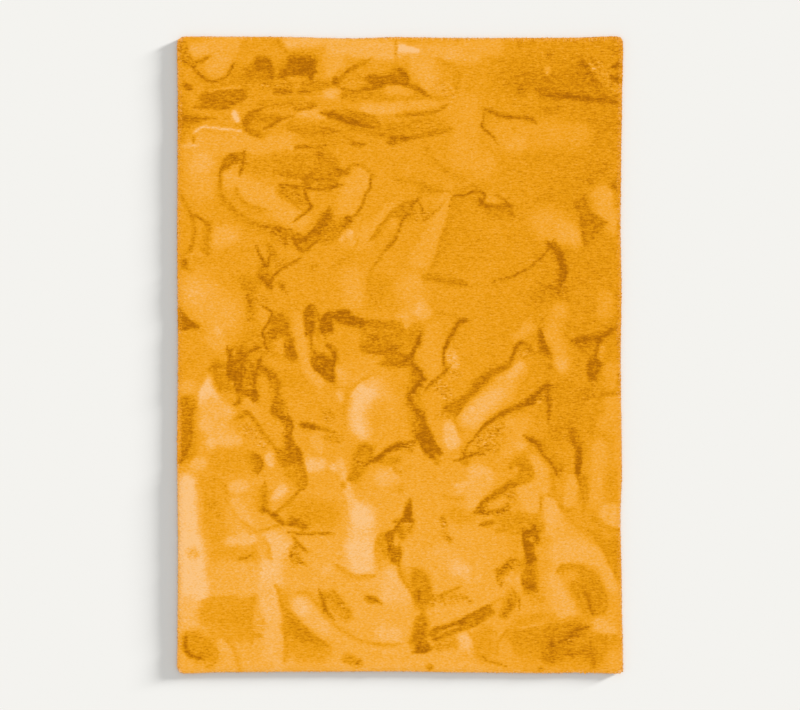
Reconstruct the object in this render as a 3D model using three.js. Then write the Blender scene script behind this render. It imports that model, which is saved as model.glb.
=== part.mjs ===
// A plush area rug, lying flat, in millimetres with +Z up.
//
// The rug is one piece of pile cloth: dense upright fibres on a thin ground cloth. The origin is
// the middle of the underside, X runs across the rug and Y along it. The underside is flat. The
// pile hangs a little over the cloth's cut edge, rolls over in a rounded shoulder, and its top is
// uneven, because hands have swept it one way and another.
import * as THREE from "three";

// Driving dimensions of the whole rug
const WIDTH = 1400;
const LENGTH = 2000;
const PILE_TOP = 18; // height of pile that stands as it was made
const BULGE_HEIGHT = 7; // where the overhanging pile reaches furthest out
const HEM_INSET = 5; // how far the cloth's cut edge stands back under the pile
const HEM_CURVE_INSET = 1.2; // the same, halfway down to the floor
const HEM_CURVE_HEIGHT = 3.5;
const SHOULDER = 28; // width of the rounded shoulder, and of the corner zone
const CELL = 28; // spacing of the points on the open top

// Corner radii, seen from above, by the signs of x and y
const CORNER_RADIUS = { "-1,1": 28, "1,1": 22, "1,-1": 17, "-1,-1": 25 };

// The edges wave: how far each one bows inwards, at places given as a share of the half-length.
// Every edge is true at its corners, so the four corners reach furthest out.
const EDGE_BOWS = {
  //       place, inwards
  left: [[-0.9, 1.2], [-0.62, 2.8], [-0.3, 0.3], [0, 2.8], [0.35, 0.6], [0.8, 2.2]],
  right: [[-0.78, 3.5], [-0.5, 8.0], [-0.37, 3.4], [0, 7.2], [0.2, 4.6], [0.4, 7.8], [0.6, 5.8], [0.8, 3.0]],
  top: [[-0.6, 0.8], [-0.2, 5.8], [-0.02, 2.2], [0.3, 4.8], [0.75, 4.0]],
  bottom: [[-0.8, 3.8], [-0.4, 5.6], [-0.03, 6.4], [0.3, 3.2], [0.68, 1.0], [0.8, 3.0]],
};
const BOW_REACH = 260; // how far into the rug an edge's bow is felt

// Hand sweeps over the pile, from the top of the rug down. Each row is one sweep: where it starts
// and ends, how far its middle bows to the left of that line, its half-width at both ends, and how
// far the pile in it stands up (+) or is pressed down (-).
const SWEEPS = [
  //  x0    y0    x1    y1   bow  r0  r1  rise
  [-600, 960, -240, 980, 0, 22, 20, 1.2],
  [-200, 970, 80, 960, 0, 26, 28, 1.6],
  [-445, 912, -425, 918, 0, 28, 28, -2.6],
  [-338, 912, -285, 924, 0, 32, 32, -3.2],
  [320, 845, 600, 870, 0, 32, 38, -1.8],
  [490, 818, 665, 797, 0, 16, 16, -2.6],
  [-610, 800, -480, 822, 0, 28, 22, -3.2],
  [-218, 754, -70, 734, 0, 22, 18, -2.4],
  [-120, 706, 130, 702, -14, 22, 20, -2.2],
  [-600, 660, -250, 665, 0, 34, 34, 1.2],
  [330, 690, 600, 665, 0, 40, 40, 1.2],
  [-620, 600, -600, 470, 0, 40, 45, 1.4],
  [-530, 545, -320, 430, 0, 32, 38, 1.8],
  [-135, 550, -175, 440, 0, 42, 28, 2.0],
  [65, 300, 150, 490, 0, 34, 30, 1.8],
  [-75, 390, 50, 486, 9, 22, 24, -2.6],
  [-245, 375, -225, 430, 0, 26, 28, -3.0],
  [480, 400, 560, 352, 0, 45, 36, 1.6],
  [585, 422, 615, 402, 0, 28, 28, -2.6],
  [490, 348, 525, 225, 12, 18, 18, -3.6],
  [-640, 200, -570, 50, 0, 55, 40, 1.6],
  [45, 210, 112, -70, 10, 44, 32, 1.6],
  [-325, 110, -270, -75, -12, 26, 22, 1.8],
  [-285, 140, -267, 0, 0, 20, 16, -2.8],
  [-236, 95, -122, 100, 25, 20, 18, -3.2],
  [192, 102, 142, -10, -12, 14, 14, -2.4],
  [500, 130, 512, -35, 0, 30, 32, 1.4],
  [442, 62, 458, 10, 0, 14, 22, -3.0],
  [58, 48, 22, -26, 0, 16, 24, -2.4],
  [-525, 10, -525, -68, 0, 20, 24, -3.2],
  [-490, -5, -490, -110, 0, 20, 18, -2.0],
  [-448, -25, -452, -140, 0, 16, 18, -3.0],
  [606, -18, 606, -74, 0, 26, 18, -3.2],
  [-243, -20, -218, -75, 0, 28, 22, -3.2],
  [395, -20, 170, -250, 0, 28, 42, 2.2],
  [352, -10, 228, -118, 0, 14, 18, -2.8],
  [465, -95, 235, -250, -5, 18, 18, -3.0],
  [-596, -80, -560, -265, 0, 30, 55, 2.0],
  [-110, -100, -130, -235, 0, 45, 38, 2.2],
  [-675, -145, -680, -335, 0, 24, 18, -3.0],
  [60, -185, 98, -305, 0, 20, 26, -3.2],
  [-392, -172, -335, -325, 18, 18, 34, -3.0],
  [-60, -315, 30, -278, 0, 18, 20, -2.6],
  [430, -300, 455, -410, 0, 28, 34, 1.6],
  [415, -262, 486, -360, 8, 14, 14, -2.8],
  [640, -300, 640, -520, 0, 38, 42, 1.4],
  [568, -295, 561, -388, 0, 16, 16, -3.2],
  [-660, -390, -650, -800, 0, 40, 48, 2.2],
  [330, -418, 250, -490, 0, 20, 22, -2.4],
  [-130, -480, -110, -680, 0, 42, 46, 2.0],
  [485, -470, 560, -640, 0, 34, 55, 1.4],
  [38, -475, 20, -515, 0, 18, 16, -2.6],
  [-400, -580, -400, -980, 0, 38, 32, 1.8],
  [-34, -570, -20, -655, 0, 22, 26, -2.8],
  [402, -570, 410, -735, 0, 20, 22, -2.8],
  [-25, -700, 25, -768, 0, 34, 40, 2.0],
  [500, -700, 510, -800, 0, 40, 42, 1.6],
  [560, -715, 605, -785, 0, 52, 44, -1.8],
  [70, -720, 65, -775, 0, 30, 26, -2.8],
  [-310, -790, -210, -875, 0, 24, 26, 1.6],
  [112, -880, 285, -802, 0, 22, 20, -3.2],
  [75, -860, 75, -928, 0, 24, 28, -2.4],
  [482, -940, 585, -862, 0, 20, 18, -2.6],
  [-668, -920, -622, -950, 0, 24, 20, -2.4],
].map(([x0, y0, x1, y1, bow, r0, r1, rise]) => ({
  start: new THREE.Vector2(x0, y0),
  end: new THREE.Vector2(x1, y1),
  bow,
  r0,
  r1,
  rise,
}));
const SWEEP_EDGE = 30; // width over which a sweep meets the pile beside it
const SWEEP_STEPS = 8; // straight steps that follow a sweep's curve

// 0 below low, 1 above high, and a smooth rise between them
function smoothRise(low, high, value) {
  return THREE.MathUtils.smoothstep(value, low, high);
}

// The inward bow of one edge at a place along it, -1 and 1 being its corners
function bowAt(edge, place) {
  const knots = [[-0.955, 0], ...EDGE_BOWS[edge], [0.955, 0]];
  const last = knots.findIndex(([at]) => at >= place);
  if (last < 1) return 0;
  const [[a, low], [b, high]] = [knots[last - 1], knots[last]];
  return THREE.MathUtils.lerp(low, high, smoothRise(a, b, place));
}

// How far inside a sweep's outline a point lies, in millimetres, negative outside it
function depthInSweep(sweep, point) {
  const { start, end, bow, r0, r1 } = sweep;
  const along = end.clone().sub(start);
  const left = new THREE.Vector2(-along.y, along.x).normalize();
  let deepest = -Infinity;
  let from = start;
  for (let step = 1; step <= SWEEP_STEPS; step += 1) {
    const share = step / SWEEP_STEPS;
    const to = start.clone().addScaledVector(along, share);
    to.addScaledVector(left, 4 * bow * share * (1 - share));
    const piece = to.clone().sub(from);
    const offset = point.clone().sub(from);
    const t = THREE.MathUtils.clamp(offset.dot(piece) / piece.lengthSq(), 0, 1);
    const radius = THREE.MathUtils.lerp(r0, r1, (step - 1 + t) / SWEEP_STEPS);
    deepest = Math.max(deepest, radius - offset.addScaledVector(piece, -t).length());
    from = to;
  }
  return deepest;
}

// Height of the pile on the open top. A later sweep lies over an earlier one.
function pileHeight(x, y) {
  const point = new THREE.Vector2(x, y);
  let rise = 0;
  for (const sweep of SWEEPS) {
    const share = smoothRise(-SWEEP_EDGE / 2, SWEEP_EDGE / 2, depthInSweep(sweep, point));
    rise = THREE.MathUtils.lerp(rise, sweep.rise, share);
  }
  return PILE_TOP + rise;
}

// Distances from one edge to the other at which the top has a row of points: close together on
// the shoulders, and evenly spaced between them
function rowsAcross(size) {
  const shoulder = [0, 5, 14, SHOULDER];
  const open = size - 2 * SHOULDER;
  const cells = Math.round(open / CELL);
  const rows = [...shoulder];
  for (let i = 1; i < cells; i += 1) rows.push(SHOULDER + (open * i) / cells);
  return [...rows, ...shoulder.map((inset) => size - inset).reverse()].map((d) => d - size / 2);
}

// Bends a corner's square zone so that its outer side follows the rounded corner. The point is
// given from the zone's inner corner, with both coordinates from 0 to the zone's size.
function roundedCorner(a, b, radius) {
  const size = SHOULDER;
  const reach = Math.max(a, b);
  if (reach === 0) return [0, 0];
  const straight = size - radius;
  const half = straight + (radius * Math.PI) / 4;
  const fromMiddle = (Math.min(a, b) / reach) * half;
  const angle = Math.max(fromMiddle - straight, 0) / radius;
  const outer = [
    size - radius + radius * Math.cos(angle),
    fromMiddle <= straight ? fromMiddle : straight + radius * Math.sin(angle),
  ];
  const scaled = outer.map((value) => (value * reach) / size);
  return a >= b ? scaled : scaled.reverse();
}

// Where a point of the plain rectangle lies on the real rug, seen from above
function onRug(x, y) {
  const inner = [WIDTH / 2 - SHOULDER, LENGTH / 2 - SHOULDER];
  const [a, b] = [Math.abs(x) - inner[0], Math.abs(y) - inner[1]];
  if (a > 0 && b > 0) {
    const [sx, sy] = [Math.sign(x), Math.sign(y)];
    const [u, v] = roundedCorner(a, b, CORNER_RADIUS[`${sx},${sy}`]);
    return [sx * (inner[0] + u), sy * (inner[1] + v)];
  }
  const fade = (distance) => 1 - smoothRise(0, BOW_REACH, distance);
  const across = x / (WIDTH / 2);
  const along = y / (LENGTH / 2);
  const bowedX =
    x +
    bowAt("left", along) * fade(x + WIDTH / 2) -
    bowAt("right", along) * fade(WIDTH / 2 - x);
  const bowedY =
    y +
    bowAt("bottom", across) * fade(y + LENGTH / 2) -
    bowAt("top", across) * fade(LENGTH / 2 - y);
  return [bowedX, bowedY];
}

// Height of a point of the plain rectangle: the pile's height, rounded off at the rim
function heightAt(x, y) {
  const inset = Math.min(WIDTH / 2 - Math.abs(x), LENGTH / 2 - Math.abs(y));
  const share = Math.min(inset / SHOULDER, 1);
  const roundness = Math.sqrt(1 - (1 - share) ** 2);
  return THREE.MathUtils.lerp(BULGE_HEIGHT, pileHeight(x, y), roundness);
}

// The rug's closed surface: the uneven top, the rolled rim and the flat underside
function rugGeometry() {
  const xs = rowsAcross(WIDTH);
  const ys = rowsAcross(LENGTH);
  const points = [];
  const faces = [];
  const topIndex = (i, j) => j * xs.length + i;
  for (const y of ys) for (const x of xs) points.push(...onRug(x, y), heightAt(x, y));
  for (let j = 0; j + 1 < ys.length; j += 1) {
    for (let i = 0; i + 1 < xs.length; i += 1) {
      const corners = [topIndex(i, j), topIndex(i + 1, j), topIndex(i + 1, j + 1), topIndex(i, j + 1)];
      const turned = xs[i] * ys[j] > 0;
      if (turned) faces.push(corners[0], corners[1], corners[2], corners[0], corners[2], corners[3]);
      else faces.push(corners[0], corners[1], corners[3], corners[1], corners[2], corners[3]);
    }
  }

  // Once round the rim, anticlockwise from above
  const [lastX, lastY] = [xs.length - 1, ys.length - 1];
  const rim = [];
  for (let i = 0; i < lastX; i += 1) rim.push([i, 0]);
  for (let j = 0; j < lastY; j += 1) rim.push([lastX, j]);
  for (let i = lastX; i > 0; i -= 1) rim.push([i, lastY]);
  for (let j = lastY; j > 0; j -= 1) rim.push([0, j]);

  // Two more rings under the overhang: the curve of the hanging pile, and the hem on the floor
  let above = rim.map(([i, j]) => topIndex(i, j));
  for (const [inset, height] of [[HEM_CURVE_INSET, HEM_CURVE_HEIGHT], [HEM_INSET, 0]]) {
    const ring = rim.map(([i, j]) => {
      const shrink = (value, size) => value * (1 - (2 * inset) / size);
      points.push(...onRug(xs[i], ys[j]).map((v, axis) => shrink(v, axis ? LENGTH : WIDTH)), height);
      return points.length / 3 - 1;
    });
    ring.forEach((low, k) => {
      const next = (k + 1) % ring.length;
      faces.push(low, ring[next], above[k], ring[next], above[next], above[k]);
    });
    above = ring;
  }

  // The underside, as a fan round its middle
  points.push(0, 0, 0);
  const middle = points.length / 3 - 1;
  above.forEach((low, k) => faces.push(middle, above[(k + 1) % above.length], low));

  const geometry = new THREE.BufferGeometry();
  geometry.setAttribute("position", new THREE.Float32BufferAttribute(points, 3));
  geometry.setIndex(faces);
  geometry.computeVertexNormals();
  return geometry;
}

// Golden yellow plush: matt, with no metal in it
function plushMaterial() {
  return new THREE.MeshStandardMaterial({ color: 0xea9e24, roughness: 0.95, metalness: 0 });
}

const rug = new THREE.Group();
const pileCloth = new THREE.Mesh(rugGeometry(), plushMaterial());
pileCloth.name = "pile_cloth";
rug.add(pileCloth);

export default rug;
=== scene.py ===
# %% [markdown]
# # A plush rug, swept by hand
# The real rug is one rectangle of plush: short, dense, soft fibres on a thin knitted ground cloth,
# with nothing sewn to it. One place on it differs from another only in which way a hand last pushed
# the pile. Where the fibres lie over, their sides catch the light, and the plush is pale and
# smooth. Where they stand up or part, the eye looks down between them, and it is dark and rough.
#
# Such a rug could be made with a hair system, but 2.8 square metres of plush have millions of
# fibres, and no mesh could hold them. So the pile is one skin that has the height and the tone of
# every sweep of the hand. Small locks of pile lie over it in rows, and stand up where it was roughed
# up, and longer ones roll over the rim. What is finer than a lock is in the material.

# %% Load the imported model, which fixes the rug's place and size
import math
from collections import namedtuple

import bpy
import numpy as np
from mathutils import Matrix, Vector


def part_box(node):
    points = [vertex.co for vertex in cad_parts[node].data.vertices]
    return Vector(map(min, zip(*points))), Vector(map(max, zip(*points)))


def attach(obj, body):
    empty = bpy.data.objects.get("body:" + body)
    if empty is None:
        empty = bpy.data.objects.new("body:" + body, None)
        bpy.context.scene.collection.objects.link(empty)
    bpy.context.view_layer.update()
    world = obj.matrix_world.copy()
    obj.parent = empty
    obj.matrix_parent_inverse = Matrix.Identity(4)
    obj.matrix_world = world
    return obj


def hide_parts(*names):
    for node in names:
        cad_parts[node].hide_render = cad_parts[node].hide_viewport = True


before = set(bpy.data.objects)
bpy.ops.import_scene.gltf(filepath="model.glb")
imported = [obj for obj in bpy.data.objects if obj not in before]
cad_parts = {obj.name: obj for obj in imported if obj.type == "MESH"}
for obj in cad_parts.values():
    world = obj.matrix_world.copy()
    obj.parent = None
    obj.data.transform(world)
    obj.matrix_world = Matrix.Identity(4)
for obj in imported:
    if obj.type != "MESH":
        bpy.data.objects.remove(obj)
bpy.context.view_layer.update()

MM = 0.001  # sizes below are in millimetres, and the meshes are built in metres
lowest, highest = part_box("pile_cloth")
WIDTH = (highest.x - lowest.x) / MM
LENGTH = (highest.y - lowest.y) / MM
print(f"the rug is {WIDTH:.0f} by {LENGTH:.0f} mm, and {(highest.z - lowest.z) / MM:.1f} mm thick")

# %% [markdown]
# ## The outline
# A rug like this is cut from a roll with a knife, and the pile hides the cut. The four edges wave
# by a few millimetres, and each corner is rounded a little differently. A plain rectangle of points
# is easy to index, so the surface starts as one, and a function then moves each point to where it
# lies on the real rug. The waves are short tables of knots: a place along the edge, from -1 to 1,
# and how far the edge bows inwards there.

# %% Sizes of the pile and its rim
PILE_TOP = 18  # height of the pile that stands as it was made
BULGE_HEIGHT = 7  # where the overhanging pile reaches furthest out
HEM_INSET = 5  # how far the cloth's cut edge stands back under the pile
SHOULDER = 28  # width of the rounded shoulder, and of the corner zone
BOW_REACH = 260  # how far into the rug an edge's bow is felt
BOW_END = 0.955  # place along an edge past which it doesn't bow any more
CORNER_RADIUS = {(-1, 1): 28, (1, 1): 22, (1, -1): 17, (-1, -1): 25}
EDGE_BOWS = {
    "left": [(-0.9, 1.2), (-0.62, 2.8), (-0.3, 0.3), (0, 2.8), (0.35, 0.6), (0.8, 2.2)],
    "right": [(-0.78, 3.5), (-0.5, 8), (-0.37, 3.4), (0, 7.2), (0.2, 4.6), (0.4, 7.8), (0.6, 5.8), (0.8, 3)],
    "top": [(-0.6, 0.8), (-0.2, 5.8), (-0.02, 2.2), (0.3, 4.8), (0.75, 4)],
    "bottom": [(-0.8, 3.8), (-0.4, 5.6), (-0.03, 6.4), (0.3, 3.2), (0.68, 1), (0.8, 3)],
}


def smooth_rise(low, high, value):
    """0 below low, 1 above high, and a smooth rise between them."""
    share = np.clip((value - low) / (high - low), 0, 1)
    return share * share * (3 - 2 * share)


def bow_at(edge, place):
    """How far an edge bows inwards at places along it, -1 and 1 being its corners."""
    knots = [(-BOW_END, 0), *EDGE_BOWS[edge], (BOW_END, 0)]
    bow = np.zeros_like(place)
    for (start, before), (end, after) in zip(knots, knots[1:]):
        inside = (place >= start) & (place <= end)
        bow[inside] = before + (after - before) * smooth_rise(start, end, place[inside])
    return bow


# %% Move the points of a plain rectangle to the rug's own outline
def rounded_corner(a, b, radius):
    """Bends a corner's square zone, measured from its inner corner, round a rounded corner."""
    reach = np.maximum(a, b)
    straight = SHOULDER - radius
    half = straight + radius * math.pi / 4
    from_middle = np.minimum(a, b) / np.maximum(reach, 1e-9) * half
    angle = np.maximum(from_middle - straight, 0) / radius
    main = (straight + radius * np.cos(angle)) * reach / SHOULDER
    side = np.minimum(from_middle, straight) + radius * np.sin(angle)
    side = side * reach / SHOULDER
    return np.where(a >= b, main, side), np.where(a >= b, side, main)


def on_rug(x, y):
    """Where points of the plain rectangle lie on the real rug, seen from above."""
    left = bow_at("left", y / (LENGTH / 2)) * (1 - smooth_rise(0, BOW_REACH, x + WIDTH / 2))
    right = bow_at("right", y / (LENGTH / 2)) * (1 - smooth_rise(0, BOW_REACH, WIDTH / 2 - x))
    bottom = bow_at("bottom", x / (WIDTH / 2)) * (1 - smooth_rise(0, BOW_REACH, y + LENGTH / 2))
    top = bow_at("top", x / (WIDTH / 2)) * (1 - smooth_rise(0, BOW_REACH, LENGTH / 2 - y))
    placed_x, placed_y = x + left - right, y + bottom - top
    inner_x, inner_y = WIDTH / 2 - SHOULDER, LENGTH / 2 - SHOULDER
    for (sign_x, sign_y), radius in CORNER_RADIUS.items():
        a, b = sign_x * x - inner_x, sign_y * y - inner_y
        corner = (a > 0) & (b > 0)
        u, v = rounded_corner(a[corner], b[corner], radius)
        placed_x[corner] = sign_x * (inner_x + u)
        placed_y[corner] = sign_y * (inner_y + v)
    return placed_x, placed_y


# %% [markdown]
# ## The points of the pile
# The pile's surface is a grid of points, about 5.6 mm apart on the open top. That is fine enough for
# the edge of a finger mark, and keeps the skin under 200,000 triangles. Over the rounded shoulder the
# rows follow equal steps of a quarter circle, so that the roll of the rim is as smooth from the side
# as from above.

# %% Rows of points across the rug
PITCH = 5.62  # spacing of the points on the open top
SHOULDER_STEPS = 7


def rows_across(size):
    """Places from one edge to the other at which the surface has a row of points."""
    turns = np.linspace(0, math.pi / 2, SHOULDER_STEPS + 1)
    shoulder = SHOULDER * (1 - np.cos(turns))
    steps = round((size - 2 * SHOULDER) / PITCH)
    middle = np.linspace(SHOULDER, size - SHOULDER, steps + 1)[1:-1]
    return np.concatenate([shoulder, middle, size - shoulder[::-1]]) - size / 2


columns = rows_across(WIDTH)
rows = rows_across(LENGTH)
plain_x, plain_y = np.meshgrid(columns, rows)
top_x, top_y = on_rug(plain_x, plain_y)
print(f"the top is {len(columns)} by {len(rows)} points")

# %% [markdown]
# ## What a sweep of the hand does
# A hand that strokes plush leaves a band with rounded ends. Each row of the tables below is one
# such sweep, measured from the rug's middle: where it starts (`x0`, `y0`) and ends (`x1`, `y1`), how
# far it bows to the left on its way, its half-width at each end (`r0`, `r1`), its `tone` from -1
# (dark, the fibres stand or part) to 1 (pale, they lie flat), how soft its edge is (`fade`), and how
# roughed up the pile in it is (`rough`, from 0 to 1). Three of the palest marks have a tone a little
# past 1, to stay pale through the noise of the material. A later sweep lies over an earlier one, as
# on the real rug. The tables are read off the photograph, a band of the rug at a time.
#
# Many a sweep shows by one edge only: crisp where the hand stopped, and fading away over some
# centimetres behind it. Such an edge has its `tone` on the line through its few points, and fades
# out over the stated width on the `left` and on the `right` of the line, as one walks along it.
#
# Where two sweeps meet, the pile parts in a thin dark line, or stands up in a thin pale one. Those
# are creases: a tone, a width, and the few points that the line passes through.

# %% Named columns for the tables
Sweep = namedtuple("Sweep", "x0 y0 x1 y1 bow r0 r1 tone fade rough")
Edge = namedtuple("Edge", "tone left right points")
Crease = namedtuple("Crease", "tone width points")
SWEEPS = {}
EDGES = {}
CREASES = {}


def as_sweeps(table):
    """Gives the rows of a table of sweeps their named columns."""
    return [Sweep(*row) for row in table]


def as_edges(table):
    """Gives the rows of a table of edges their named columns."""
    return [Edge(tone, left, right, points) for tone, left, right, *points in table]


def as_creases(table):
    """Gives the rows of a table of creases their named columns."""
    return [Crease(tone, width, points) for tone, width, *points in table]


# %% The top edge, left
SWEEPS["top edge, left"] = as_sweeps([
    # x0, y0, x1, y1, bow, r0, r1, tone, fade, rough
    (-585, 870, -400, 872, 0, 40, 40, -0.2, 26, 0),
    (-640, 662, -330, 662, 0, 38, 32, 0.26, 16, 0),
    (-290, 690, -190, 690, 0, 34, 42, -0.18, 26, 0),
    (-640, 955, -530, 975, 0, 22, 22, 0.45, 10, 0),
    (-350, 980, -230, 985, 0, 20, 20, 0.5, 10, 0),
    (-205, 985, -205, 880, 0, 30, 30, 0.32, 18, 0),
    (-550, 980, -575, 905, 0, 42, 40, 0.3, 10, 0.1),
    (-470, 885, -415, 880, 0, 20, 20, -0.45, 14, 0.1),
    (-438, 915, -430, 916, 0, 22, 20, -0.8, 12, 0.1),
    (-325, 912, -292, 912, 0, 30, 30, -0.75, 14, 0.1),
    (-430, 846, -330, 846, 0, 9, 8, -0.25, 7, 0.8),
    (-390, 827, -345, 827, 0, 9, 8, -0.65, 7, 0.3),
    (-312, 825, -286, 826, 0, 9, 8, -0.6, 8, 0.3),
    (-600, 801, -500, 818, 0, 25, 16, -0.5, 14, 0.1),
    (-615, 806, -590, 810, 0, 12, 14, -0.75, 12, 0.1),
    (-545, 780, -510, 795, 0, 10, 10, -0.4, 8, 0.5),
    (-690, 800, -692, 695, 0, 22, 26, -0.3, 18, 0.1),
    (-700, 736, -640, 738, 0, 26, 12, -0.6, 12, 0.1),
    (-684, 975, -668, 925, 0, 14, 20, -0.35, 10, 0.7),
    (-440, 740, -435, 705, 0, 26, 26, -0.15, 14, 0.1),
    (-430, 790, -280, 785, 0, 14, 12, -0.28, 12, 0.3),
    (-475, 738, -385, 740, 0, 14, 14, -0.35, 10, 0.1),
    (-300, 848, -220, 845, 0, 14, 16, -0.38, 12, 0.2),
    (-310, 758, -245, 755, 0, 13, 15, 0.45, 8, 0),
    (-520, 757, -512, 740, 0, 9, 9, 1.2, 6, 0),
    (-385, 985, -360, 955, 0, 7, 7, -0.3, 6, 0),
    (-670, 846, -660, 838, 0, 10, 10, -0.7, 7, 0.2),
])
EDGES["top edge, left"] = as_edges([
    # tone, left, right, points
    (-0.8, 40, 4, (-400, 862), (-398, 895), (-412, 932)),
    (-0.85, 60, 4, (-384, 872), (-330, 878), (-258, 884)),
    (-0.85, 50, 4, (-276, 858), (-272, 892), (-270, 928)),
    (-0.8, 40, 4, (-345, 945), (-352, 900), (-380, 868)),
    (-0.65, 38, 4, (-655, 776), (-590, 775), (-556, 770), (-535, 784), (-460, 812)),
    (-0.65, 4, 26, (-630, 816), (-560, 828), (-475, 832)),
    (-0.85, 12, 10, (-730, 735), (-680, 736), (-575, 743)),
    (-0.7, 40, 4, (-425, 775), (-470, 760), (-491, 730), (-480, 700), (-430, 678)),
    (-0.95, 14, 6, (-432, 706), (-405, 718), (-378, 736), (-335, 748)),
    (-0.4, 40, 4, (-370, 718), (-320, 698), (-280, 690), (-190, 700)),
    (-0.75, 12, 10, (-700, 932), (-655, 912), (-625, 920), (-585, 940)),
])
CREASES["top edge, left"] = as_creases([
    # tone, width, points
    (-0.8, 8, (-650, 905), (-635, 885), (-600, 860), (-560, 864), (-538, 882), (-518, 915)),
    (-0.7, 7, (-330, 768), (-300, 770), (-262, 782)),
    (-0.6, 6, (-320, 650), (-230, 657)),
    (-0.4, 7, (-650, 665), (-645, 690)),
    (1.3, 6, (-645, 698), (-618, 714), (-590, 712), (-500, 702)),
    (0.9, 6, (-680, 655), (-635, 657)),
    (0.6, 5, (-600, 828), (-560, 834), (-500, 840)),
])

# %% The top edge, middle
SWEEPS["top edge, middle"] = as_sweeps([
    # x0, y0, x1, y1, bow, r0, r1, tone, fade, rough
    (20, 725, 150, 725, 0, 22, 22, -0.15, 12, 0.1),
    (200, 780, 200, 650, 0, 45, 45, 0.15, 20, 0),
    (60, 945, 230, 945, 0, 28, 28, 0.4, 18, 0),
    (-200, 970, -10, 952, 0, 30, 32, 0.5, 14, 0),
    (60, 930, 95, 865, 0, 36, 36, 0.35, 14, 0),
    (5, 962, 55, 954, 0, 13, 6, 1.2, 6, 0),
    (-30, 832, 30, 832, 0, 14, 14, 0.3, 9, 0),
    (-225, 818, -205, 820, 0, 18, 18, 0.5, 10, 0),
    (-15, 782, 145, 782, 0, 17, 17, 0.25, 8, 0),
    (-110, 770, -10, 770, 0, 18, 18, 0.4, 9, 0),
    (-185, 868, -110, 868, 0, 24, 22, -0.05, 8, 0.4),
    (-180, 815, -60, 815, 0, 13, 12, -0.28, 8, 0.1),
    (-90, 866, 10, 868, 0, 14, 18, -0.5, 10, 0.1),
    (-85, 866, -66, 852, 0, 12, 12, -0.75, 9, 0.1),
    (125, 850, 150, 820, 0, 24, 24, 0.1, 14, 0.6),
    (-210, 750, -90, 732, 0, 14, 20, -0.45, 14, 0.1),
    (-35, 712, 35, 708, 0, 16, 16, -0.3, 12, 0.1),
    (-25, 670, 25, 682, 0, 12, 10, -0.6, 9, 0.2),
    (60, 695, 150, 705, 0, 12, 10, -0.2, 12, 0),
    (-203, 862, -199, 848, 0, 9, 7, -0.75, 6, 0.3),
    (-250, 706, -210, 706, 0, 5, 6, -0.7, 6, 0.3),
    (-38, 663, -20, 665, 0, 6, 6, -0.6, 5, 0.5),
    (-152, 662, -112, 660, 0, 5, 5, -0.7, 5, 0.7),
])
EDGES["top edge, middle"] = as_edges([
    # tone, left, right, points
    (-0.2, 16, 22, (105, 932), (160, 908), (188, 875), (175, 820)),
    (-0.7, 4, 20, (-200, 858), (-165, 893), (-140, 908), (-90, 932)),
    (-0.85, 4, 32, (-25, 898), (12, 893), (26, 872), (32, 852), (60, 838), (105, 800)),
    (-0.8, 30, 4, (-130, 832), (-70, 838), (-40, 850), (0, 848), (35, 845)),
    (-0.7, 12, 14, (-120, 866), (-60, 868), (-20, 885)),
    (-0.3, 14, 3, (-90, 803), (0, 800), (100, 803), (160, 798)),
    (-0.3, 14, 3, (-200, 812), (-150, 797), (-100, 805)),
    (-0.65, 20, 4, (-25, 752), (50, 752), (110, 760), (165, 788)),
    (-0.95, 20, 16, (-260, 762), (-195, 745), (-150, 728), (-80, 712)),
    (-0.45, 4, 34, (-170, 768), (-120, 758), (-85, 745), (-65, 728), (-64, 700)),
    (-0.55, 14, 14, (-160, 710), (-60, 690), (0, 680), (60, 684), (170, 708)),
    (-0.8, 8, 12, (-60, 690), (0, 681), (55, 682)),
    (-0.35, 5, 5, (-70, 708), (0, 709), (90, 702), (150, 710)),
])
CREASES["top edge, middle"] = as_creases([
    # tone, width, points
    (-0.6, 6, (-200, 848), (-180, 833), (-120, 828), (-80, 838)),
    (-0.3, 5, (-12, 985), (-12, 940), (-10, 905)),
])

# %% The top edge, right
SWEEPS["top edge, right"] = as_sweeps([
    # x0, y0, x1, y1, bow, r0, r1, tone, fade, rough
    (600, 710, 690, 710, 0, 60, 60, -0.3, 40, 0),
    (340, 872, 600, 875, 0, 52, 46, -0.28, 34, 0),
    (330, 690, 560, 690, 0, 45, 40, 0.1, 24, 0),
    (360, 660, 370, 660, 0, 25, 25, 0.3, 15, 0),
    (220, 965, 300, 965, 0, 25, 25, 0.3, 14, 0),
    (385, 845, 428, 855, 0, 26, 24, -0.46, 18, 0),
    (372, 832, 374, 838, 0, 6, 6, -0.75, 6, 0.2),
    (440, 872, 560, 870, 0, 18, 20, -0.42, 18, 0),
    (445, 822, 510, 816, 0, 16, 12, -0.6, 14, 0),
    (575, 905, 605, 865, 0, 20, 14, -0.6, 10, 0.5),
    (470, 940, 472, 940, 0, 14, 14, -0.3, 8, 0.9),
    (375, 968, 376, 980, 0, 5, 5, -0.4, 6, 0.4),
    (464, 897, 466, 885, 0, 8, 8, 0.35, 7, 0.3),
    (610, 910, 690, 815, 0, 22, 20, -0.12, 9, 0.8),
    (660, 902, 686, 907, 0, 3, 11, -0.9, 4, 0.2),
    (662, 874, 682, 862, 0, 7, 11, -0.9, 4, 0.2),
    (675, 965, 675, 940, 0, 20, 18, -0.3, 8, 0.6),
    (610, 985, 650, 985, 0, 12, 12, -0.2, 8, 0.3),
    (455, 768, 490, 773, 0, 12, 14, -0.35, 12, 0.2),
    (668, 792, 680, 788, 0, 7, 4, -0.85, 4, 0.2),
    (640, 697, 690, 697, 0, 8, 8, -0.25, 7, 0.2),
    (690, 650, 690, 620, 0, 12, 12, -0.3, 10, 0.2),
])
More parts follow.
